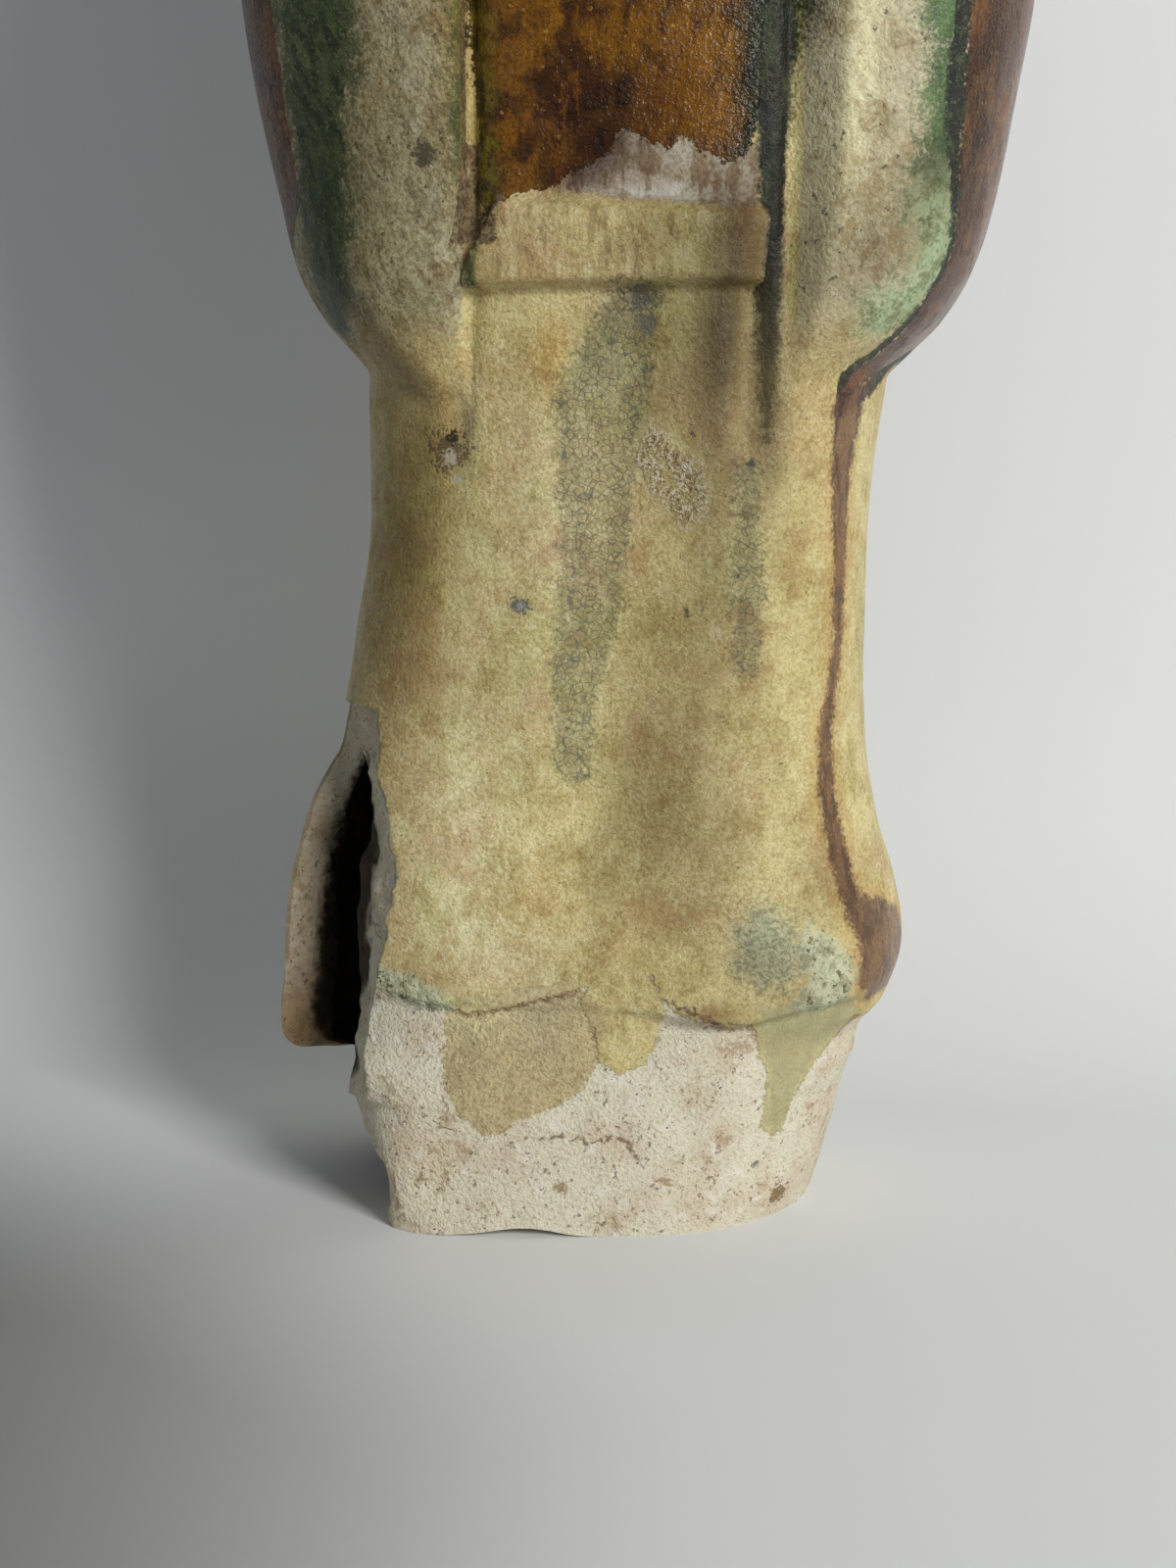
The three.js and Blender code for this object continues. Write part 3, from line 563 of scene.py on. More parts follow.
# soft patches multiplied into the colour, most of them painted shade and painted light: painted shadow under
# the right sleeve, along the hem band and on the broken piece at the left, and the front left painted
# lighter; a few are stains: turn, height, half width in degrees, half height, colour it is multiplied by
shadeAndStainPatches = [
    (4, 229, 5, 8, (0.3, 0.24, 0.3)), (-3, 220, 6, 6, (0.35, 0.28, 0.3)),
    (-11, 214.5, 7, 4, (0.4, 0.3, 0.35)), (-12, 226, 9, 9, (0.6, 0.5, 0.5)),
    (14, 228, 8, 8, (0.6, 0.52, 0.5)), (33, 186, 8, 24, (0.36, 0.34, 0.33)),
    (19, 184, 9, 16, (0.66, 0.65, 0.6)), (2, 187, 9, 9, (0.7, 0.72, 0.74)),
    (36, 142, 8, 26, (0.66, 0.67, 0.64)), (33, 88, 12, 28, (0.7, 0.68, 0.66)),
    (22, 126, 6, 10, (0.78, 0.77, 0.72)), (21, 92, 8, 20, (0.78, 0.77, 0.78)),
    (-52, 146, 9, 36, (0.6, 0.56, 0.44)), (-36, 180, 6, 14, (1.35, 1.4, 1.5)),
    (-42, 189, 4, 7, (0.7, 0.7, 0.62)), (-31, 86, 11, 24, (1.22, 1.27, 1.45)),
    (-24, 60, 10, 12, (1.08, 1.1, 1.2)), (-16, 138, 10, 38, (1.04, 1.1, 1.2)),
    (46, 162, 4, 14, (0.6, 0.6, 0.6)), (62, 76, 6, 9, (0.72, 0.68, 0.66)),
    (-25, 74, 14, 14, (1.14, 1.16, 1.22)), (80, 58, 7, 14, (1.3, 1.35, 1.4)),
    (50, 56, 9, 9, (0.84, 0.8, 0.8)), (-15, 181, 6, 7, (1.0, 0.82, 0.62)),
    (31, 204, 9, 12, (0.46, 0.42, 0.36)), (12, 204, 9, 12, (0.72, 0.7, 0.62)),
    (37, 202, 5, 12, (0.72, 0.62, 0.52)), (8, 214, 24, 1.8, (0.72, 0.62, 0.5)),
    (14, 62, 10, 7, (0.95, 0.88, 0.84)), (-10, 70, 9, 9, (1.0, 0.88, 0.8)),
    (-43, 150, 4, 30, (0.85, 0.8, 0.7)), (56, 202, 6, 9, (0.7, 0.66, 0.6)),
    (60, 212, 5, 8, (0.7, 0.66, 0.6)), (-80, 62, 16, 44, (0.5, 0.45, 0.4)),
    (-80, 34, 14, 12, (0.6, 0.46, 0.32)), (-22, 60, 20, 14, (1.08, 1.1, 1.12)),
    (-57, 140, 11, 40, (0.68, 0.63, 0.54)), (31, 184, 5, 16, (0.7, 0.66, 0.6)),
    (-34, 196, 4, 16, (0.85, 0.85, 0.75)), (36, 48, 7, 3, (0.62, 0.55, 0.5)),
    (-57, 214, 16, 16, (0.8, 0.86, 0.8)), (30, 135, 15, 60, (0.84, 0.82, 0.78)),
    (52, 150, 10, 44, (0.86, 0.83, 0.76)), (44, 188, 4, 20, (0.4, 0.4, 0.36)),
    (-3, 221, 8, 8, (0.5, 0.42, 0.42)), (-52, 225, 14, 40, (0.8, 0.74, 0.62)),
    (68, 225, 5, 30, (0.6, 0.7, 0.66)), (15, 204, 10, 12, (0.8, 0.8, 0.78)),
    (-33, 245, 4, 40, (0.75, 0.65, 0.4)), (31, 178, 7, 18, (0.7, 0.68, 0.64)),
    (17, 170, 7, 10, (0.75, 0.73, 0.72)), (-1, 177, 5, 5, (0.75, 0.75, 0.78)),
    (6, 219, 12, 6, (0.66, 0.6, 0.55)), (-24, 47, 8, 6, (1.3, 1.38, 1.4)),
    (-9, 58, 7, 16, (1.1, 1.16, 1.3)), (-36, 14, 8, 14, (1.22, 1.2, 1.15)),
    (9, 76, 6, 10, (0.85, 0.84, 0.84)), (43, 58, 9, 6, (0.82, 0.78, 0.76)),
    (8, 59, 4, 5, (1.15, 1.2, 1.35)), (49.5, 232, 2.6, 26, (1.5, 1.55, 1.5)),
]
# small marks: turn, height, radius, colour
marks = {
    "pitRim": (-19, 131, 2.1, (0.09, 0.09, 0.085)),
    "pit": (-19.3, 131.4, 0.8, (0.28, 0.26, 0.22)),
    "darkSpot": (42.8, 160, 1.0, (0.04, 0.04, 0.035)),
    "blister": (77.5, 217, 1.7, (0.02, 0.008, 0.01)),
    "resin": (60, 5.4, 2.4, (0.2, 0.12, 0.035)),
    "chipBrown": (-42, 162, 4.4, (0.13, 0.085, 0.05)),
    "chipWhite": (-42.6, 160.5, 1.6, (0.6, 0.57, 0.48)),
    "chipWhiteLow": (-40.6, 157, 1.1, (0.62, 0.58, 0.5)),
    "chipBlack": (-41.5, 165, 1.5, (0.02, 0.02, 0.018)),
    "bump": (37, 125, 1.5, (0.62, 0.52, 0.3)),
    "footStain": (-34, 12, 1.6, (0.34, 0.24, 0.13)),
    "footMark": (51, 13, 0.8, (0.14, 0.11, 0.08)),
    "smear": (11, 192, 3.2, (0.12, 0.115, 0.1)),
    "smearLow": (12.5, 187, 2.2, (0.15, 0.145, 0.12)),
    "lowStain": (-3, 11, 1.5, (0.36, 0.26, 0.15)),
    "cornerBlack": (-38.6, 218, 2.4, (0.05, 0.05, 0.035)),
}
# cracks and scratches in groups of one colour: turn and height of both ends, half width in mm
strokes = {
    "clayCrack": ((0.2, 0.13, 0.08), [
        (-7.5, 21.3, 2, 21.0, 0.45), (2, 21.0, 4, 19.4, 0.5), (4, 19.4, 12, 20.8, 0.42),
        (13, 22, 20, 15, 0.6), (-30, 35.5, -29, 25, 0.4), (30, 30, 38, 27, 0.34), (-35, 26, -25, 21, 0.3)]),
    "clayStain": ((0.35, 0.25, 0.14), [
        (24, 12, 29, 10.5, 0.7), (-40.5, 13, -40.2, 3, 1.3), (-39.5, 3, -35, 1.8, 1.1),
        (-41, 8, -39, 5, 1.7), (-42, 46, -33, 37, 0.24), (-40, 42, -34, 35, 0.24),
        (-37, 44, -31, 39, 0.24)]),
    "glazeScratch": ((0.07, 0.07, 0.06), [
        (28.8, 131.5, 30.6, 128, 0.5), (30.6, 128, 33, 131.2, 0.45), (25.5, 168, 28, 163, 0.35)]),
    "hemCrack": ((0.1, 0.06, 0.05), [
        (25, 51, 31, 48.6, 0.75), (31, 48.6, 38, 46.4, 0.85), (38, 46.4, 45, 45.4, 0.6),
        (29, 52, 33, 47, 0.3)]),
}
# brush lines on the face, in the same columns
faceLines = {
    "hair": ((0.05, 0.04, 0.035), [
        (-27, 508.3, -18, 510.6, 0.8), (-18, 510.6, -9, 508.6, 0.7), (27, 508.3, 18, 510.6, 0.8),
        (18, 510.6, 9, 508.6, 0.7), (-24, 502, -17, 503.8, 0.5), (-17, 503.8, -10, 501.8, 0.5),
        (24, 502, 17, 503.8, 0.5), (17, 503.8, 10, 501.8, 0.5), (-17.7, 502.4, -16.3, 502.4, 1.1),
        (17.7, 502.4, 16.3, 502.4, 1.1)]),
    "lips": ((0.42, 0.13, 0.09), [
        (-8, 479.6, 0, 480.2, 0.9), (0, 480.2, 8, 479.6, 0.9), (-5, 476.8, 0, 476.2, 1.0),
        (0, 476.2, 5, 476.8, 1.0)]),
}

# values the materials read at every point, three to an attribute: signed distances in mm, positive within
fieldSets = {
    "glazes": ("amber", "green", "robe"),
    "lines": ("stripe", "crackle", "bare"),
    "edges": ("glazed", "flake", "crust"),
    "strips": ("greenLine", "slip", "groove"),
    "patches": ("mint", "ochre", "border"),
    "stains": ("teal", "thick", "whitePatch"),
    "place": ("turn", "high", "raised"),
}
# edges of the glazes: the field, how it is made ragged and how much, and the mm from none to full
edges = {
    "glazed": ("glazed", "fine", 1.0, -0.25, 0.25),
    "hemOut": ("glazed", "fine", 1.0, -1.3, -0.2),
    "hemIn": ("glazed", "fine", 1.0, 0.5, 0.0),
    "ochre": ("ochre", "wobble", 0.6, -0.5, 0.3),
    "mint": ("mint", "wobble", 1.9, -2.0, 1.6),
    "amber": ("amber", "wobble", 0.7, -0.25, 0.25),
    "slip": ("slip", "fine", 1.0, -0.6, 0.6),
    "whitePatch": ("whitePatch", "fine", 1.0, -0.6, 0.6),
    "bare": ("bare", "fine", 0.9, -0.4, 0.4),
    "groove": ("groove", "fine", 0.8, -0.8, 1.0),
    "greenLine": ("greenLine", "fine", 1.3, -1.0, 1.1),
    "border": ("border", "wobble", 0.7, -0.4, 0.5),
    "crackle": ("crackle", "wobble", 1.1, -1.8, 1.6),
    "halo": ("stripe", "wobble", 0.6, -4.6, 0.6),
    "stripe": ("stripe", "fine", 1.2, -1.4, 0.5),
    "teal": ("teal", "wobble", 1.8, -3.0, 3.6),
    "thick": ("thick", "fine", 1.0, -0.8, 1.8),
    "crust": ("crust", "wobble", 1.4, -1.2, 1.0),
    "flake": ("flake", "wobble", 1.5, -1.6, 1.4),
}
# noises: size, detail, roughness, and for the drawn-out ones how they are squeezed and turned
glazeNoises = {
    "grit": (0.45, 1.0, 0.6),
    "grain": (0.8, 2.5, 0.66),
    "fleck": (3.2, 4.0, 0.66),
    "cloud": (13, 4.0, 0.64),
    "wide": (30, 3.0, 0.65),
    "patchy": (21, 4.5, 0.7),
    "grime": (7, 5.0, 0.76),
    "stain": (7, 5.0, 0.75),
    "pits": (1.8, 3.0, 0.7),
    "pinholes": (1.1, 2.5, 0.7),
    "drip": (3.0, 4.0, 0.66, (1.0, 1.0, 0.3)),
    "runs": (1.9, 3.0, 0.64, (1.0, 1.0, 0.32)),
    "brush": (1.6, 3.0, 0.66, (1.0, 0.24, 0.24), (0.0, math.radians(25), 0.0)),
}
clayNoises = {
    "grain": (1.0, 3.0, 0.65),
    "fleck": (3.0, 4.0, 0.66),
    "cloud": (11, 4.0, 0.6),
    "stain": (7, 5.0, 0.75),
    "pits": (2.0, 3.0, 0.7),
    "pinholes": (1.1, 2.5, 0.7),
}
# coats: first a value, from, to, and the two colours it mixes; then changes "to" a colour or "by" a colour
# the coat is multiplied with: value, from, to, amount, colour; without from and to the value is the mask
coats = {
    "clay": [
        ("cloud", 0.42, 0.62, (0.75, 0.71, 0.55), (0.68, 0.59, 0.44)),
        ("to", "fleck", 0.5, 0.66, 0.6, (0.86, 0.84, 0.74)),
        ("by", "grain", 0.5, 0.64, 0.5, (0.7, 0.62, 0.5)),
        ("to", "stain", 0.56, 0.66, 0.62, (0.4, 0.27, 0.15)),
        ("to", "pits", 0.62, 0.67, 0.75, (0.2, 0.13, 0.08)),
        ("to", "holes", 0.8, (0.17, 0.115, 0.075)),
        ("to", "clayDots", 0.9, (0.05, 0.038, 0.03))],
    "cream": [
        ("cloud", 0.42, 0.6, (0.67, 0.59, 0.285), (0.53, 0.45, 0.19)),
        ("to", "wide", 0.48, 0.64, 0.45, (0.62, 0.45, 0.24)),
        ("to", "fleck", 0.48, 0.34, 0.36, (0.76, 0.70, 0.42)),
        ("by", "fleck", 0.52, 0.68, 0.42, (0.74, 0.64, 0.48)),
        ("by", "grain", 0.46, 0.62, 0.45, (0.64, 0.57, 0.44)),
        ("to", "grain", 0.44, 0.32, 0.25, (0.8, 0.75, 0.5)),
        ("by", "grit", 0.45, 0.65, 0.4, (0.62, 0.55, 0.45)),
        ("by", "grime", 0.5, 0.66, 0.45, (0.58, 0.44, 0.3)),
        ("to", "patchy", 0.53, 0.64, 0.4, (0.42, 0.24, 0.11)),
        ("to", "pits", 0.66, 0.72, 0.6, (0.16, 0.11, 0.06)),
        ("to", "dots", 0.7, (0.07, 0.055, 0.04)),
        ("to", "bandDark", 0.6, (0.24, 0.15, 0.07)),
        ("to", "bandPale", 0.4, (0.74, 0.68, 0.44))],
    "worn": [
        ("brush", 0.42, 0.6, (0.5, 0.44, 0.27), (0.33, 0.28, 0.16)),
        ("to", "cloud", 0.5, 0.62, 0.5, (0.36, 0.27, 0.12)),
        ("to", "fleck", 0.54, 0.68, 0.5, (0.6, 0.56, 0.42)),
        ("by", "grain", 0.48, 0.62, 0.7, (0.52, 0.48, 0.4)),
        ("to", "grain", 0.44, 0.34, 0.45, (0.64, 0.61, 0.48)),
        # darker and bluer towards the left: painted shade on the left sleeve; then lighter and yellower
        # towards the right
        ("by", "turn", 10, -25, 0.6, (0.84, 0.9, 0.96)),
        ("to", "turn", 10, 40, 0.4, (0.62, 0.57, 0.38)),
        ("by", "grime", 0.5, 0.66, 0.7, (0.5, 0.38, 0.24)),
        ("to", "pits", 0.62, 0.68, 0.8, (0.06, 0.055, 0.04)),
        ("to", "dots", 0.9, (0.04, 0.036, 0.03)),
        ("to", "tan", 0.6, (0.33, 0.24, 0.1))],
    "ochre": [
        ("fleck", 0.42, 0.62, (0.56, 0.46, 0.24), (0.45, 0.36, 0.18)),
        ("by", "grain", 0.46, 0.62, 0.45, (0.62, 0.54, 0.42))],
    "copper": [
        ("brush", 0.4, 0.62, (0.014, 0.034, 0.013), (0.085, 0.115, 0.05)),
        ("to", "fleck", 0.5, 0.66, 0.55, (0.16, 0.18, 0.09)),
        ("to", "cloud", 0.5, 0.6, 0.5, (0.03, 0.075, 0.03)),
        ("to", "grain", 0.56, 0.66, 0.6, (0.22, 0.22, 0.13)),
        ("to", "rightLow", 1.0, "copperLow"),
        ("to", "rightHigh", 0.75, "copperHigh"),
        ("by", "grit", 0.42, 0.62, 0.5, (0.45, 0.5, 0.45))],
    "copperLow": [("fleck", 0.42, 0.6, (0.34, 0.44, 0.22), (0.17, 0.2, 0.08))],
    "copperHigh": [("fleck", 0.4, 0.6, (0.03, 0.09, 0.02), (0.11, 0.2, 0.06))],
    "mint": [
        ("fleck", 0.44, 0.6, (0.5, 0.6, 0.38), (0.33, 0.37, 0.2)),
        ("by", "grain", 0.46, 0.62, 0.6, (0.6, 0.6, 0.5))],
    "amber": [
        ("cloud", 0.44, 0.58, (0.2, 0.08, 0.003), (0.06, 0.018, 0.002)),
        ("to", "drip", 0.5, 0.64, 0.6, (0.028, 0.009, 0.002)),
        ("to", "drip", 0.46, 0.32, 0.6, (0.3, 0.13, 0.006)),
        ("by", "grain", 0.46, 0.62, 0.7, (0.45, 0.4, 0.4)),
        ("to", "pits", 0.62, 0.7, 0.7, (0.42, 0.24, 0.03)),
        ("to", "raggedTurn", -27.5, -33, 0.85, "olive"),
        # right end nearly black: painted shadow cast by the right sleeve
        ("to", "raggedTurn", 29.5, 37, 1.0, (0.011, 0.012, 0.003))],
    "olive": [("fleck", 0.42, 0.6, (0.16, 0.13, 0.016), (0.04, 0.035, 0.006))],
    "slip": [
        ("drip", 0.44, 0.6, (0.56, 0.52, 0.42), (0.34, 0.26, 0.17)),
        ("by", "grain", 0.45, 0.6, 0.7, (0.6, 0.55, 0.48))],
    "bare": [
        ("fleck", 0.4, 0.6, (0.3, 0.22, 0.14), (0.15, 0.105, 0.06)),
        ("by", "grain", 0.45, 0.6, 0.8, (0.45, 0.4, 0.35))],
    # pooled green darkened nearly to black: partly painted shade in the groove
    "groove": [("drip", 0.42, 0.62, (0.004, 0.005, 0.002), (0.025, 0.036, 0.012))],
    "greenLine": [("drip", 0.4, 0.62, (0.028, 0.055, 0.016), (0.11, 0.17, 0.06))],
    "brown": [
        ("drip", 0.42, 0.62, (0.19, 0.082, 0.032), (0.09, 0.034, 0.016)),
        ("to", "cloud", 0.46, 0.62, 0.65, (0.055, 0.022, 0.013)),
        ("by", "grain", 0.46, 0.62, 0.6, (0.5, 0.45, 0.42)),
        ("to", "grit", 0.6, 0.68, 0.35, (0.3, 0.2, 0.12)),
        ("to", "goldRuns", 0.6, (0.46, 0.29, 0.08)),
        ("to", "grime", 0.6, 0.7, 0.5, (0.34, 0.25, 0.15))],
    "border": [("fleck", 0.5, 0.66, (0.012, 0.012, 0.01), (0.05, 0.06, 0.03))],
    "iron": [
        ("drip", 0.42, 0.6, (0.19, 0.1, 0.05), (0.075, 0.035, 0.024)),
        ("by", "grain", 0.45, 0.6, 0.5, (0.55, 0.5, 0.45))],
    "teal": [("grain", 0.42, 0.6, (0.3, 0.4, 0.29), (0.12, 0.17, 0.12))],
    "crust": [
        ("fleck", 0.46, 0.6, (0.6, 0.66, 0.47), (0.34, 0.36, 0.23)),
        ("to", "pits", 0.56, 0.62, 1.0, (0.07, 0.07, 0.05))],
    "flake": [
        ("grain", 0.46, 0.56, (0.36, 0.25, 0.13), (0.74, 0.67, 0.48)),
        ("to", "grain", 0.38, 0.32, 1.0, (0.1, 0.07, 0.045))],
    # the hollow's inner wall painted near black: painted shade
    "hollowPaintedShade": [("fleck", 0.4, 0.65, (0.075, 0.05, 0.032), (0.035, 0.024, 0.016))],
    "pigment": [("cloud", 0.4, 0.62, (0.035, 0.03, 0.028), (0.1, 0.085, 0.07))],
}


def inside(corners, turn, z):
    # distance in mm to the nearest side of a closed outline, positive within it
    place = np.stack([turn * arc, z], axis=-1)
    ends = np.array(corners, float) * [arc, 1]
    best = np.full(len(place), 1e9)
    within = np.zeros(len(place), bool)
    for a, b in zip(ends, np.roll(ends, -1, axis=0)):
        side = b - a
        t = np.clip((place - a) @ side / (side @ side), 0, 1)
        best = np.minimum(best, np.linalg.norm(place - a - t[:, None] * side, axis=1))
        if a[1] != b[1]:
            crossed = (a[1] > place[:, 1]) != (b[1] > place[:, 1])
            within ^= crossed & (place[:, 0] < a[0] + (place[:, 1] - a[1]) / (b[1] - a[1]) * side[0])
    return np.where(within, best, -best)


def stationed(stations, value):
    # second column of a station list at each value of the first, straight between the stations
    return np.interp(value, *np.array(stations, float).T)


def surfacePlaces(mesh):
    # for every vertex: its place, its turn in degrees, its height and how far it stands above the gown
    flat = np.empty(len(mesh.vertices) * 3)
    mesh.vertices.foreach_get("co", flat)
    place = flat.reshape(-1, 3) / mm - shift
    x, z = place[:, 0] - axisX(place[:, 2]), place[:, 2]
    turn = np.arctan2(x, -place[:, 1])
    raised = np.hypot(x, place[:, 1]) - outline(gown, z, turn)
    return place, np.degrees(turn), z, raised


def assignMaterials(mesh):
    # bare clay above the neck line, and glaze over the hands
    index = np.empty(len(mesh.polygons), np.int32)
    middle = np.empty(len(mesh.polygons) * 3)
    mesh.polygons.foreach_get("material_index", index)
    mesh.polygons.foreach_get("center", middle)
    middle = middle.reshape(-1, 3) / mm - shift
    names = [m.name for m in mesh.materials]
    y, z = middle[:, 1], middle[:, 2]
    index[z > neckLine] = names.index("paleClay")
    hidden = (y < covered["front"]) & (z > covered["low"]) & (z < covered["high"])
    index[hidden] = names.index("threeColourGlaze")
    mesh.polygons.foreach_set("material_index", index)


def putAttribute(mesh, name, columns, kind="FLOAT_VECTOR", field="vector"):
    # one value of every column for each vertex
    layer = mesh.attributes.new(name, kind, "POINT")
    layer.data.foreach_set(field, np.stack(columns, axis=-1).astype(np.float32).ravel())


def between(limits, value):
    # signed distance to the nearer of two limits, positive between them
    return np.minimum(value - limits[0], limits[1] - value)


def layFields(mesh):
    # signed distances to the edges of the glazes, and the places of the marks, cracks and brush lines
    place, turn, z, raised = surfacePlaces(mesh)
    at = {key: inside(corners, turn, z) for key, corners in areas.items()}
    far = turn % 360
    robe = np.minimum.reduce([(far - stationed(robeRight, z)) * 1.1, (stationed(robeLeft, z) - far) * 1.1,
                              z - stationed(robeEdge, far)])
    robe = np.where((far < 60) | (far > 297), np.minimum(robe, -20), robe)
    chest = z - 362 - 10 * np.abs(np.sin(np.radians(turn)))
    robe = np.minimum(np.maximum(robe, chest), robeTop - z)
    side = np.minimum.reduce([between(bareSide["out"], raised), between(bareSide["turn"], turn) * 0.8,
                              between(bareSide["high"], z)])
    onRight = np.where(far < 100, 20, -20)
    glazed = np.minimum(z - stationed(glazeEdge, turn), neckLine + 1 - z)
    at.update({
        "amber": np.minimum(at["amber"], (2.4 - raised) * 1.5),  # not up the sides of the sleeves
        "green": np.maximum(at["greenLeft"], at["greenRight"]),
        "robe": robe,
        "stripe": np.maximum(at["stripe"], at["hemBrown"]),
        "crackle": np.maximum(at["crackle"], at["crackleRight"]),
        "bare": np.maximum(side, np.minimum(at["barePanel"], (3 - raised) * 1.5)),
        "glazed": np.maximum.reduce([glazed, at["thick"], at["paleGreen"]]),
        "crust": np.maximum(at["crust"], at["mintHem"]),
        "greenLine": np.minimum(at["greenLine"], (raised - 2.0) * 2),
        "border": np.minimum.reduce([robe + stationed(borderWidth, z), 0.4 - robe, onRight, 350 - z]),
        "turn": turn, "high": z, "raised": raised,
    })
    for name, keys in fieldSets.items():
        putAttribute(mesh, name, [at[key] for key in keys])
    # each patch's colour multiplied in where it lies: painted shade and painted light, with some stains
    tint = np.ones((len(z), 3))
    for atTurn, atHigh, wide, tall, color in shadeAndStainPatches:
        near = bell((turn - atTurn) / wide) * bell((z - atHigh) / tall)
        tint *= 1 + near[:, None] * (np.array(color) - 1)
    putAttribute(mesh, "tint", [*tint.T])
    outer = bodyPoints(z, np.radians(turn))
    depth = np.hypot(outer[:, 0], outer[:, 1]) - np.hypot(place[:, 0], place[:, 1])
    putAttribute(mesh, "depth", [np.where(z < 440, depth, 0)], "FLOAT", "value")
    putAttribute(mesh, "behind", [np.abs(turn)], "FLOAT", "value")

    def nearestPlace(atTurn, atHigh):
        # vertex nearest in turn and height, the outermost of several
        away = np.hypot((turn - atTurn) * arc, z - atHigh)
        nearest = np.argmin(away - 0.5 * np.minimum(raised, 10))
        return (place[nearest] + shift) * mm

    places = {key: nearestPlace(atTurn, atHigh) for key, (atTurn, atHigh, _, _) in marks.items()}
    lines = {key: [(nearestPlace(a, low), nearestPlace(b, high), size) for a, low, b, high, size in rows]
             for key, (_, rows) in {**strokes, **faceLines}.items()}
    return places, lines


class Wire:
    # a value travelling through a material; sums, products and so on become Math nodes
    def __init__(self, paint, socket):
        self.paint, self.socket = paint, socket

    def __add__(self, other):
        return self.paint.calc("ADD", self, other)

    def __sub__(self, other):
        return self.paint.calc("SUBTRACT", self, other)

    def __rsub__(self, other):
        return self.paint.calc("SUBTRACT", other, self)

    def __mul__(self, other):
        return self.paint.calc("MULTIPLY", self, other)

    __radd__, __rmul__ = __add__, __mul__


class Paint:
    # the nodes of one material, with its named values; every size is in millimetres
    def __init__(self, material, noises):
        material.use_nodes = True
        self.tree = material.node_tree
        self.shader = self.tree.nodes["Principled BSDF"]
        self.put(self.shader.inputs["Specular IOR Level"], 0.3)
        self.object = Wire(self, self.tree.nodes.new("ShaderNodeTexCoord").outputs["Object"])
        self.values = {name: self.noise(*row) for name, row in noises.items()}

    def put(self, socket, value):
        # links a wire, or sets a colour, a vector or a number
        if isinstance(value, Wire):
            self.tree.links.new(value.socket, socket)
        elif isinstance(value, tuple):
            socket.default_value = (*value, 1) if len(socket.default_value) == 4 else value
        else:
            socket.default_value = value

    def make(self, kind, out, inputs, **settings):
        # one node with its settings and inputs, and the wire from one of its outputs
        node = self.tree.nodes.new(kind)
        for key, value in settings.items():
            setattr(node, key, value)
        for key, value in inputs.items():
            self.put(node.inputs[key], value)
        return Wire(self, node.outputs[out])

    def calc(self, operation, a, b=0.0):
        # one Math node
        return self.make("ShaderNodeMath", 0, {0: a, 1: b}, operation=operation)

    def lower(self, a, b):
        # lower of two values
        return self.calc("MINIMUM", a, b)

    def higher(self, *wires):
        # highest of several values
        most = wires[0]
        for wire in wires[1:]:
            most = self.calc("MAXIMUM", most, wire)
        return most

    def ramp(self, value, low, high, start=0.0, end=1.0):
        # eased step from start at low to end at high
        if low > high:
            low, high, start, end = high, low, end, start
        return self.make("ShaderNodeMapRange", 0, {0: value, 1: low, 2: high, 3: start, 4: end},
                         interpolation_type="SMOOTHSTEP")

    def mix(self, amount, a, b, kind="MIX"):
        # colour a with an amount of colour b
        return self.make("ShaderNodeMix", 2, {0: amount, 6: a, 7: b}, data_type="RGBA", blend_type=kind)

    def blend(self, amount, a, b):
        # the same for plain numbers
        return self.make("ShaderNodeMix", 0, {0: amount, 2: a, 3: b}, data_type="FLOAT")

    def noise(self, size, detail, rough=0.5, squeezed=None, turned=(0.0, 0.0, 0.0)):
        # noise over the object coordinates, or over them turned first and then squeezed
        place = self.object
        if squeezed:
            place = self.make("ShaderNodeMapping", 0, {0: place, 2: turned})
            place = self.make("ShaderNodeMapping", 0, {0: place, 3: squeezed})
        inputs = {"Vector": place, "Scale": 1000 / size, "Detail": detail, "Roughness": rough}
        return self.make("ShaderNodeTexNoise", 0, inputs)

    def cells(self, size):
        # distance to the nearest border between cells of this size, in cells
        inputs = {"Vector": self.object, "Scale": 1000 / size}
        return self.make("ShaderNodeTexVoronoi", 0, inputs, feature="DISTANCE_TO_EDGE")

    def attribute(self, name, out):
        # an attribute of the mesh, as a vector, a colour or a number
        return self.make("ShaderNodeAttribute", out, {}, attribute_name=name)

    def readFields(self, names):
        # the values of the attributes, each under its own name
        for name in names:
            node = self.tree.nodes.new("ShaderNodeSeparateXYZ")
            self.put(node.inputs[0], self.attribute(name, "Vector"))
            for key, out in zip(fieldSets[name], node.outputs):
                self.values[key] = Wire(self, out)

    def coated(self, name):
        # tone of a coat: its two colours mixed, then its changes in their order
        first, *changes = coats[name]
        value, low, high, a, b = first
        tone = self.mix(self.ramp(self.values[value], low, high), a, b)
        for how, value, *limits, amount, color in changes:
            mask = self.values[value]
            mask = self.ramp(mask, *limits, 0.0, amount) if limits else mask * amount
            color = self.coated(color) if isinstance(color, str) else color
            tone = self.mix(mask, tone, color, {"to": "MIX", "by": "MULTIPLY"}[how])
        return tone

    def onEdge(self, name):
        # mask of a glaze: its signed distance made ragged, then an eased step
        field, ragged, share, low, high = edges[name]
        return self.ramp(self.values[field] + self.values[ragged] * share, low, high)

    def spot(self, place, size, ragged, amount):
        # amount within a ragged ball round a place, 0 outside
        inputs = {0: self.object, 1: tuple(place)}
        away = self.make("ShaderNodeVectorMath", "Value", inputs, operation="DISTANCE")
        return self.ramp(away * (1000 / size) + ragged, 1.1, 0.65, 0.0, amount)

    def stroke(self, start, end, size, shaken):
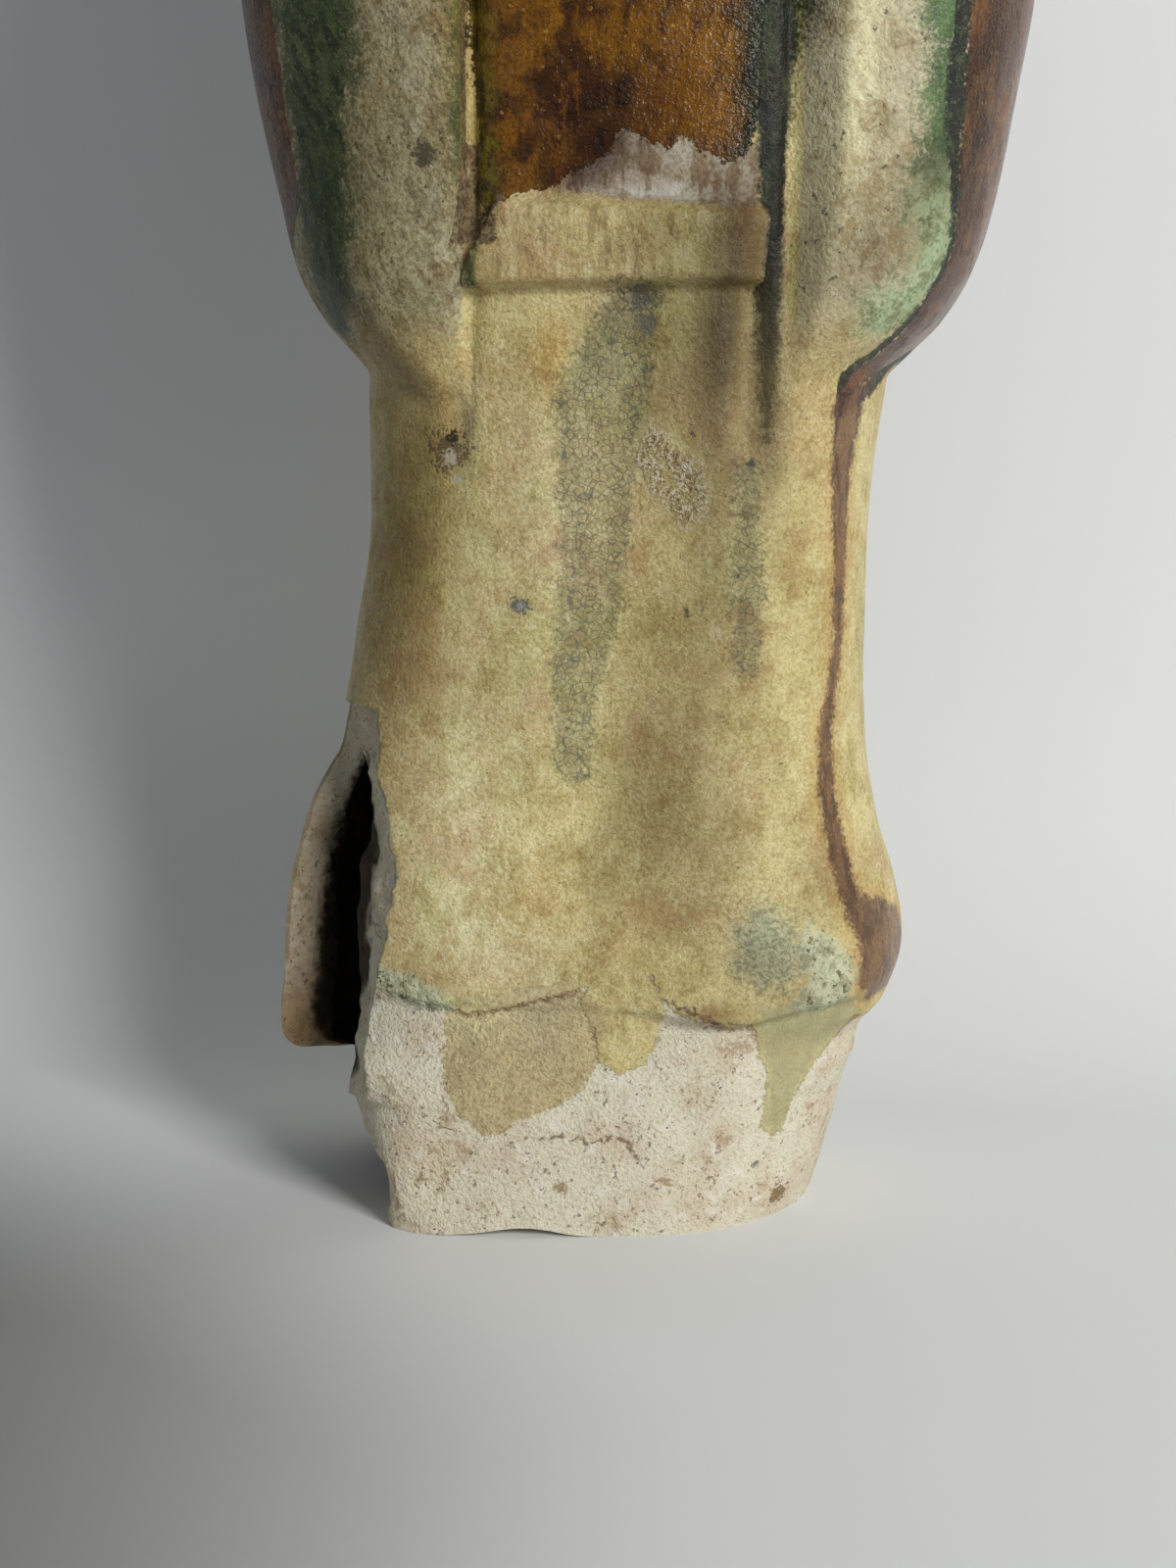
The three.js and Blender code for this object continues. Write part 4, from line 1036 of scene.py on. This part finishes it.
        # distance from the middle of the line from start to end, in radii of a slim ellipsoid laid along it
        line = Vector(end - start)
        radii = (line.length * 0.6 + size * mm, size * mm, size * mm)
        lie = tuple(line.to_track_quat("X", "Z").to_euler())
        inputs = {0: shaken, 1: tuple((start + end) / 2), 2: lie, 3: radii}
        inRadii = self.make("ShaderNodeMapping", 0, inputs, vector_type="TEXTURE")
        return self.make("ShaderNodeVectorMath", "Value", {0: inRadii}, operation="LENGTH")

    def drawn(self, rows, shaken, amount):
        # amount on the lines of one group, fading at their sides and ends
        nearest = self.stroke(*rows[0], shaken)
        for row in rows[1:]:
            nearest = self.lower(nearest, self.stroke(*row, shaken))
        return self.ramp(nearest, 1.25, 0.55, 0.0, amount)

    def specks(self, size, radius, share):
        # round dots in a share of the cells of a lattice with this size
        node = self.tree.nodes.new("ShaderNodeTexVoronoi")
        self.put(node.inputs["Vector"], self.object)
        node.inputs["Scale"].default_value = 1000 / size
        chance = self.make("ShaderNodeSeparateColor", 0, {0: Wire(self, node.outputs["Color"])})
        dot = self.ramp(Wire(self, node.outputs["Distance"]), radius / size, radius / size * 0.6)
        return dot * self.calc("LESS_THAN", chance, share)

    def addClayMarks(self):
        # dark dots everywhere, and for bare clay dots and pinholes in patches
        fleck, cloud = self.values["fleck"], self.values["cloud"]
        dots = self.specks(3.2, 0.28, 0.5)
        holes = self.ramp(self.values["pinholes"], 0.6, 0.67) * self.ramp(cloud + (fleck - 0.5), 0.44, 0.6)
        self.values.update({"dots": dots, "clayDots": dots * self.ramp(fleck, 0.42, 0.52), "holes": holes})

    def finish(self, color, roughness, height, relief):
        # height in mm goes through one Bump node
        bump = self.make("ShaderNodeBump", 0, {"Strength": relief, "Distance": mm, "Height": height})
        self.put(self.shader.inputs["Base Color"], color)
        self.put(self.shader.inputs["Roughness"], roughness)
        self.put(self.shader.inputs["Normal"], bump)


def paintGlaze(material, places, lines):
    # the glazes one over the other, from the bare clay up
    p = Paint(material, glazeNoises)
    p.readFields(fieldSets)
    p.addClayMarks()
    v = p.values
    grain, fleck, cloud, drip, grime = (v[key] for key in ("grain", "fleck", "cloud", "drip", "grime"))
    turn, high = v["turn"], v["high"]
    wobble = (fleck - 0.5) * 5.5 + (grain - 0.5) * 2.6
    fine = (fleck - 0.5) * 2.6 + (grain - 0.5) * 1.8
    v.update({"wobble": wobble, "fine": fine, "raggedTurn": turn + wobble * 1.2})
    on = {key: p.onEdge(key) for key in edges}

    # flecks drawn down the hem band, worn sleeves with painted shade on the left one, tan patches on the
    # right one
    onBand = (p.ramp(high, 194, 196) * p.ramp(high, 214, 212) * p.ramp(v["raised"], 1.4, 2.6)
              * p.ramp(turn, 36, 33) * p.ramp(turn, -30, -27))
    beside = p.higher(p.ramp(turn, 38, 40), p.ramp(turn, -32, -34))
    sleeve = p.ramp(v["raised"], 0.2, 1.6) * p.ramp(high, 176, 194) * beside * (1 - onBand)
    lightSide = p.ramp(turn, 20, 40)
    v.update({
        "bandDark": p.ramp(v["runs"], 0.52, 0.66) * onBand,
        "bandPale": p.ramp(v["runs"], 0.46, 0.34) * onBand,
        "tan": (p.ramp(grime, 0.49, 0.45) * p.ramp(turn, 46, 52) * p.ramp(high, 228, 216)
                * p.ramp(high, 190, 196)),
        "rightLow": p.ramp(high, 222, 206) * lightSide,
        "rightHigh": p.ramp(high, 214, 226) * lightSide,
        "goldRuns": p.ramp(v["runs"], 0.67, 0.72) * p.ramp(high, 210, 232),
    })
    cream = p.mix(sleeve, p.coated("cream"), p.coated("worn"))
    color = p.mix(on["glazed"], p.coated("clay"), cream)
    color = p.mix(on["ochre"] * 0.9, color, p.coated("ochre"))
    # darker along a thin line just under the glaze's lower edge
    hemEdgeDark = on["hemOut"] * on["hemIn"] * p.ramp(cloud, 0.4, 0.55) * p.ramp(high, 36, 44)
    color = p.mix(hemEdgeDark * 0.8, color, (0.42, 0.3, 0.22), "MULTIPLY")

    # copper green and its mint runs, then the slip band and the amber panel
    onGreen = p.ramp(v["green"] + wobble * 1.3 + (drip - 0.5) * 5.0, -1.6, 2.2)
    color = p.mix(onGreen * 0.97, color, p.coated("copper"))
    color = p.mix(on["mint"] * p.ramp(grime, 0.6, 0.46) * 0.72, color, p.coated("mint"))
    color = p.mix(on["slip"], color, p.coated("slip"))
    color = p.mix(on["whitePatch"] * p.ramp(drip, 0.66, 0.5), color, (0.72, 0.7, 0.66))
    color = p.mix(on["amber"], color, p.coated("amber"))

    # bare clay down the left sleeve's inner side; in the groove dark green glaze pooled, darkened nearly to
    # black as painted shade beside the right sleeve; green line on the left
    color = p.mix(on["bare"] * 0.94, color, p.coated("bare"))
    color = p.mix(on["groove"] * p.ramp(high, 166, 206, 0.6, 1.0) * 0.99, color, p.coated("groove"))
    color = p.mix(on["greenLine"] * p.ramp(grain, 0.66, 0.5, 0.45, 1.0) * 0.88, color, p.coated("greenLine"))

    # brown robe with gold runs, and the black line where it meets the green
    onRobe = p.ramp(v["robe"] + fine * 0.5 + wobble * p.ramp(high, 206, 192) * 0.5, -0.25, 0.25)
    color = p.mix(onRobe, color, p.coated("brown"))
    color = p.mix(on["border"] * p.ramp(grain, 0.7, 0.56, 0.5, 1.0) * 0.97, color, p.coated("border"))

    # crackled bands: fine grey cracks and a grey-blue cast
    color = p.mix(on["crackle"] * 0.85, color, (0.68, 0.72, 0.7), "MULTIPLY")
    cells = p.cells(1.75)
    net = p.higher(p.ramp(cells, 0.085, 0.02), p.ramp(p.cells(0.95), 0.09, 0.02) * 0.5)
    color = p.mix(net * on["crackle"] * p.ramp(fleck, 0.34, 0.6, 0.35, 0.85), color, (0.1, 0.11, 0.085))
    faint = p.ramp(v["wide"], 0.44, 0.56) * p.ramp(cells, 0.05, 0.01) * on["glazed"] * (1 - sleeve)
    color = p.mix(faint * 0.28, color, (0.2, 0.16, 0.09))

    # iron stripe down the right side, with an orange halo to its left
    color = p.mix(on["halo"] * on["glazed"] * p.ramp(high, 172, 156) * 0.5, color, (0.46, 0.25, 0.06))
    color = p.mix(on["stripe"] * 0.9, color, p.coated("iron"))

    # teal stain, thick run and crust at the right of the hem, then the worn patch of tan and pale grains
    onFlake = on["flake"] * p.ramp(v["pits"], 0.38, 0.48)
    color = p.mix(on["teal"] * 0.62, color, p.coated("teal"))
    color = p.mix(on["thick"] * 0.6, color, (0.36, 0.36, 0.22))
    color = p.mix(on["crust"] * 0.75, color, p.coated("crust"))
    color = p.mix(onFlake * 0.95, color, p.coated("flake"))

    ragged = (fleck - 0.5) * 2.4 + (grain - 0.5) * 3.0
    for key, (_, _, size, spotColor) in marks.items():
        color = p.mix(p.spot(places[key], size, ragged, 0.85), color, spotColor)
    # places shaken by a few tenths of a millimetre, so that the cracks waver
    waves = p.make("ShaderNodeTexNoise", "Color", {"Vector": p.object, "Scale": 420.0, "Detail": 2.0})
    waves = p.make("ShaderNodeVectorMath", 0, {0: waves, 1: (0.5, 0.5, 0.5)}, operation="SUBTRACT")
    waves = p.make("ShaderNodeVectorMath", 0, {0: waves, "Scale": 0.0035}, operation="SCALE")
    shaken = p.make("ShaderNodeVectorMath", 0, {0: p.object, 1: waves}, operation="ADD")
    broken = p.ramp(fleck, 0.36, 0.5, 0.35, 1.0)
    for key, (strokeColor, _) in strokes.items():
        color = p.mix(p.drawn(lines[key], shaken, 0.85) * broken, color, strokeColor)
    # painted shade and painted light, with some stains, multiplied into the colour
    color = p.mix(1.0, color, p.attribute("tint", "Color"), "MULTIPLY")

    glossy = p.higher(on["amber"], onRobe, onGreen * 0.45, on["stripe"] * 0.8)
    unglazed = 1 - p.higher(on["glazed"], on["ochre"] * 0.8)
    dull = p.higher(on["bare"], on["slip"] * (1 - on["amber"]), unglazed, onFlake)
    rough = p.blend(dull, p.blend(glossy, 0.48, 0.2), 0.88)
    rough = p.blend(p.ramp(grime, 0.5, 0.66, 0.0, 0.5), rough, 0.8)
    rough = rough + (fleck - 0.5) * 0.3 + (grain - 0.5) * 0.25
    height = grain * 0.24 + fleck * 0.5 + on["glazed"] * 0.4 + on["amber"] * 0.25 + onRobe * 0.25
    height = height + p.ramp(v["flake"], -1.0, 1.5) * grain * 0.9
    height = height + p.ramp(v["crust"], -1.0, 1.5) * fleck * 0.9
    height = height + (1 - on["glazed"]) * (grain * 0.4 - p.ramp(fleck, 0.6, 0.72) * 0.4)
    p.finish(color, rough, height, 0.85)


def paintClay(material, lines):
    # broken edges, the hollow's inner wall painted near black as painted shade, and the unglazed head
    p = Paint(material, clayNoises)
    p.readFields(["place"])
    p.addClayMarks()
    grain, fleck, cloud, high = (p.values[key] for key in ("grain", "fleck", "cloud", "high"))
    depth = p.attribute("depth", "Fac")
    # clay deeper in than the wall's outer skin is painted near black: painted shade inside the hollow
    color = p.mix(p.ramp(depth + (fleck - 0.5) * 5, 5.5, 8.0), p.coated("clay"), p.coated("hollowPaintedShade"))
    lip = p.ramp(depth + (fleck - 0.5) * 1.2, 1.1, 0.7) * p.ramp(high, 48, 52) * p.ramp(high, 114, 111)
    color = p.mix(lip * 0.7, color, (0.34, 0.3, 0.19))
    # painted shade and painted light, with some stains, multiplied into the colour; it darkens the broken
    # piece at the left
    color = p.mix(1.0, color, p.attribute("tint", "Color"), "MULTIPLY")
    # hair behind a line that slants from the temple to the nape, and the cap above its lower edge
    hair = p.ramp(p.attribute("behind", "Fac") + high * 0.9 + (fleck - 0.5) * 8, 560.0, 563.0)
    black = p.higher(p.ramp(high, 512.6, 513.4), hair * p.ramp(high + (fleck - 0.5) * 3, 478, 479.5))
    kept = p.ramp(cloud + (fleck - 0.5) * 0.5, 0.64, 0.56)
    color = p.mix(black * kept * 0.92, color, p.coated("pigment"))
    worn = p.ramp(grain, 0.62, 0.5, 0.5, 1.0)
    for key, (lineColor, _) in faceLines.items():
        color = p.mix(p.drawn(lines[key], p.object, 0.85) * worn, color, lineColor)
    p.finish(color, 0.88, grain * 0.25 + fleck * 0.8, 0.9)


print("modelling the figure")
clay = bpy.data.materials.new("paleClay")
glaze = bpy.data.materials.new("threeColourGlaze")
figureObj = bodyShape(glaze)
for part in (headShape(clay), capShape(clay), collarShape(clay),
             ballShape("hands", hands, hands["x"], hands["y"], hands["z"], glaze),
             ballShape("earLeft", ear, head["x"] - ear["out"], ear["y"], ear["z"], clay),
             ballShape("earRight", ear, head["x"] + ear["out"], ear["y"], ear["z"], clay)):
    carve(figureObj, part, "UNION")
print("cutting the hollow and the break")
carve(figureObj, hollowShape(clay), "DIFFERENCE")
carve(figureObj, breakShape(clay), "DIFFERENCE")
assignMaterials(figureObj.data)
figureObj.data.shade_smooth()
figureObj.data.set_sharp_from_angle(angle=math.radians(48))
print("laying out the glazes")
places, lines = layFields(figureObj.data)
print("mixing the glazes")
paintGlaze(glaze, places, lines)
paintClay(clay, lines)
figureObj.data.calc_loop_triangles()
print("triangles", len(figureObj.data.loop_triangles))
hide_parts("sancai_figure")
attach(figureObj, "root")

# camera where the photograph was taken from: a little to the right, a little above, close
view = {"turn": 9.0, "pitch": 8.0, "lens": 45.2, "distance": 400.0, "target": [0.0, -40.0, 95.0]}
studio = {"depth": 175.0, "front": 1500.0, "side": 1800.0, "bend": 100.0, "height": 1600.0}
# black card above the floor, out of the picture: keeps the window off the floor at the left
card = {"corners": [(110, -215), (-150, -50), (-450, -500), (150, -620)], "height": 120.0}
lights = {
    "window": {"place": (870, -960, 720), "aim": (0, 0, 150), "size": (420, 550), "power": 16,
               "color": (1.0, 0.99, 0.97)},
    "room": {"place": (-700, -1300, 750), "aim": (0, 0, 120), "size": (900, 900), "power": 1.2,
             "color": (0.93, 0.97, 1.0)},
}
# faint light from all round
air = {"color": (0.9, 0.95, 1, 1), "strength": 0.17}


def placeByAxes(obj, right, up, back, place):
    # the matrix has the three axes and the place as its columns
    matrix = np.eye(4)
    matrix[:3] = np.stack([right, up, back, place], axis=1)
    obj.matrix_world = Matrix(matrix.tolist())
    bpy.context.scene.collection.objects.link(obj)


def addCamera():
    # looks along the turn and the pitch at the target, from its distance
    turn, pitch = math.radians(view["turn"]), math.radians(view["pitch"])
    ahead = np.array([-math.sin(turn) * math.cos(pitch), math.cos(turn) * math.cos(pitch), -math.sin(pitch)])
    right = np.array([math.cos(turn), math.sin(turn), 0.0])
    place = (np.array(view["target"]) + shift - ahead * view["distance"]) * mm
    camera = bpy.data.objects.new("camera", bpy.data.cameras.new("camera"))
    camera.data.lens = view["lens"]
    camera.data.clip_start = 0.01
    placeByAxes(camera, right, np.cross(right, ahead), -ahead, place)
    bpy.context.scene.camera = camera


def stagePiece(name, points, faces, material):
    # scenery from points in millimetres
    mesh = bpy.data.meshes.new(name)
    mesh.from_pydata((points * mm).tolist(), [], faces)
    mesh.materials.append(material)
    mesh.shade_smooth()
    obj = bpy.data.objects.new(name, mesh)
    bpy.context.scene.collection.objects.link(obj)
    return obj


def paperMaterial():
    # pale paper with faint clouds, clear from behind
    material = bpy.data.materials.new("paper")
    p = Paint(material, {"cloud": (220, 1.0, 0.55)})
    p.put(p.shader.inputs["Base Color"], p.mix(p.values["cloud"], (0.76, 0.775, 0.78), (0.8, 0.81, 0.81)))
    p.put(p.shader.inputs["Roughness"], 0.9)
    back = p.make("ShaderNodeNewGeometry", "Backfacing", {})
    clear = p.make("ShaderNodeBsdfTransparent", 0, {})
    paper = Wire(p, p.shader.outputs[0])
    oneSided = p.make("ShaderNodeMixShader", 0, {0: back, 1: paper, 2: clear})
    p.put(p.tree.nodes["Material Output"].inputs["Surface"], oneSided)
    return material


def addSweep(material):
    # paper sweep: flat floor, a quarter circle at the back, then straight up
    bend, depth, side = studio["bend"], studio["depth"], studio["side"]
    quarter = np.linspace(0, math.pi / 2, 25)
    y = np.concatenate([[-studio["front"]], depth - bend + bend * np.sin(quarter), [depth]])
    z = np.concatenate([[0], bend - bend * np.cos(quarter), [studio["height"]]])
    points = np.concatenate([np.stack([np.full_like(y, x), y, z], axis=-1) for x in (-side, side)])
    n = len(y)
    stagePiece("sweep", points, [[i, n + i, n + i + 1, i + 1] for i in range(n - 1)], material)


def addCard():
    # dull black, hidden from the camera
    black = bpy.data.materials.new("blackCard")
    black.use_nodes = True
    black.node_tree.nodes["Principled BSDF"].inputs["Base Color"].default_value = (0.02, 0.02, 0.02, 1)
    points = np.array([(x, y, card["height"]) for x, y in card["corners"]])
    stagePiece("flag", points, [[0, 1, 2, 3]], black).visible_camera = False


def addLight(name):
    # area lamp turned to its aim, level from side to side
    lamp = lights[name]
    data = bpy.data.lights.new(name, "AREA")
    data.shape = "RECTANGLE"
    data.size, data.size_y = (length * mm for length in lamp["size"])
    data.energy = lamp["power"]
    data.color = lamp["color"]
    place = np.array(lamp["place"]) * mm
    back = place - np.array(lamp["aim"]) * mm
    back /= np.linalg.norm(back)
    side = np.cross([0, 0, 1.0], back)
    side /= np.linalg.norm(side)
    placeByAxes(bpy.data.objects.new(name, data), side, np.cross(back, side), back, place)


print("placing the camera and lights")
addCamera()
addSweep(paperMaterial())
for lampName in lights:
    addLight(lampName)
addCard()
world = bpy.data.worlds.new("room")
world.use_nodes = True
background = world.node_tree.nodes["Background"]
background.inputs["Color"].default_value = air["color"]
background.inputs["Strength"].default_value = air["strength"]
bpy.context.scene.world = world
bpy.context.scene.view_settings.view_transform = "Standard"  # colours as mixed
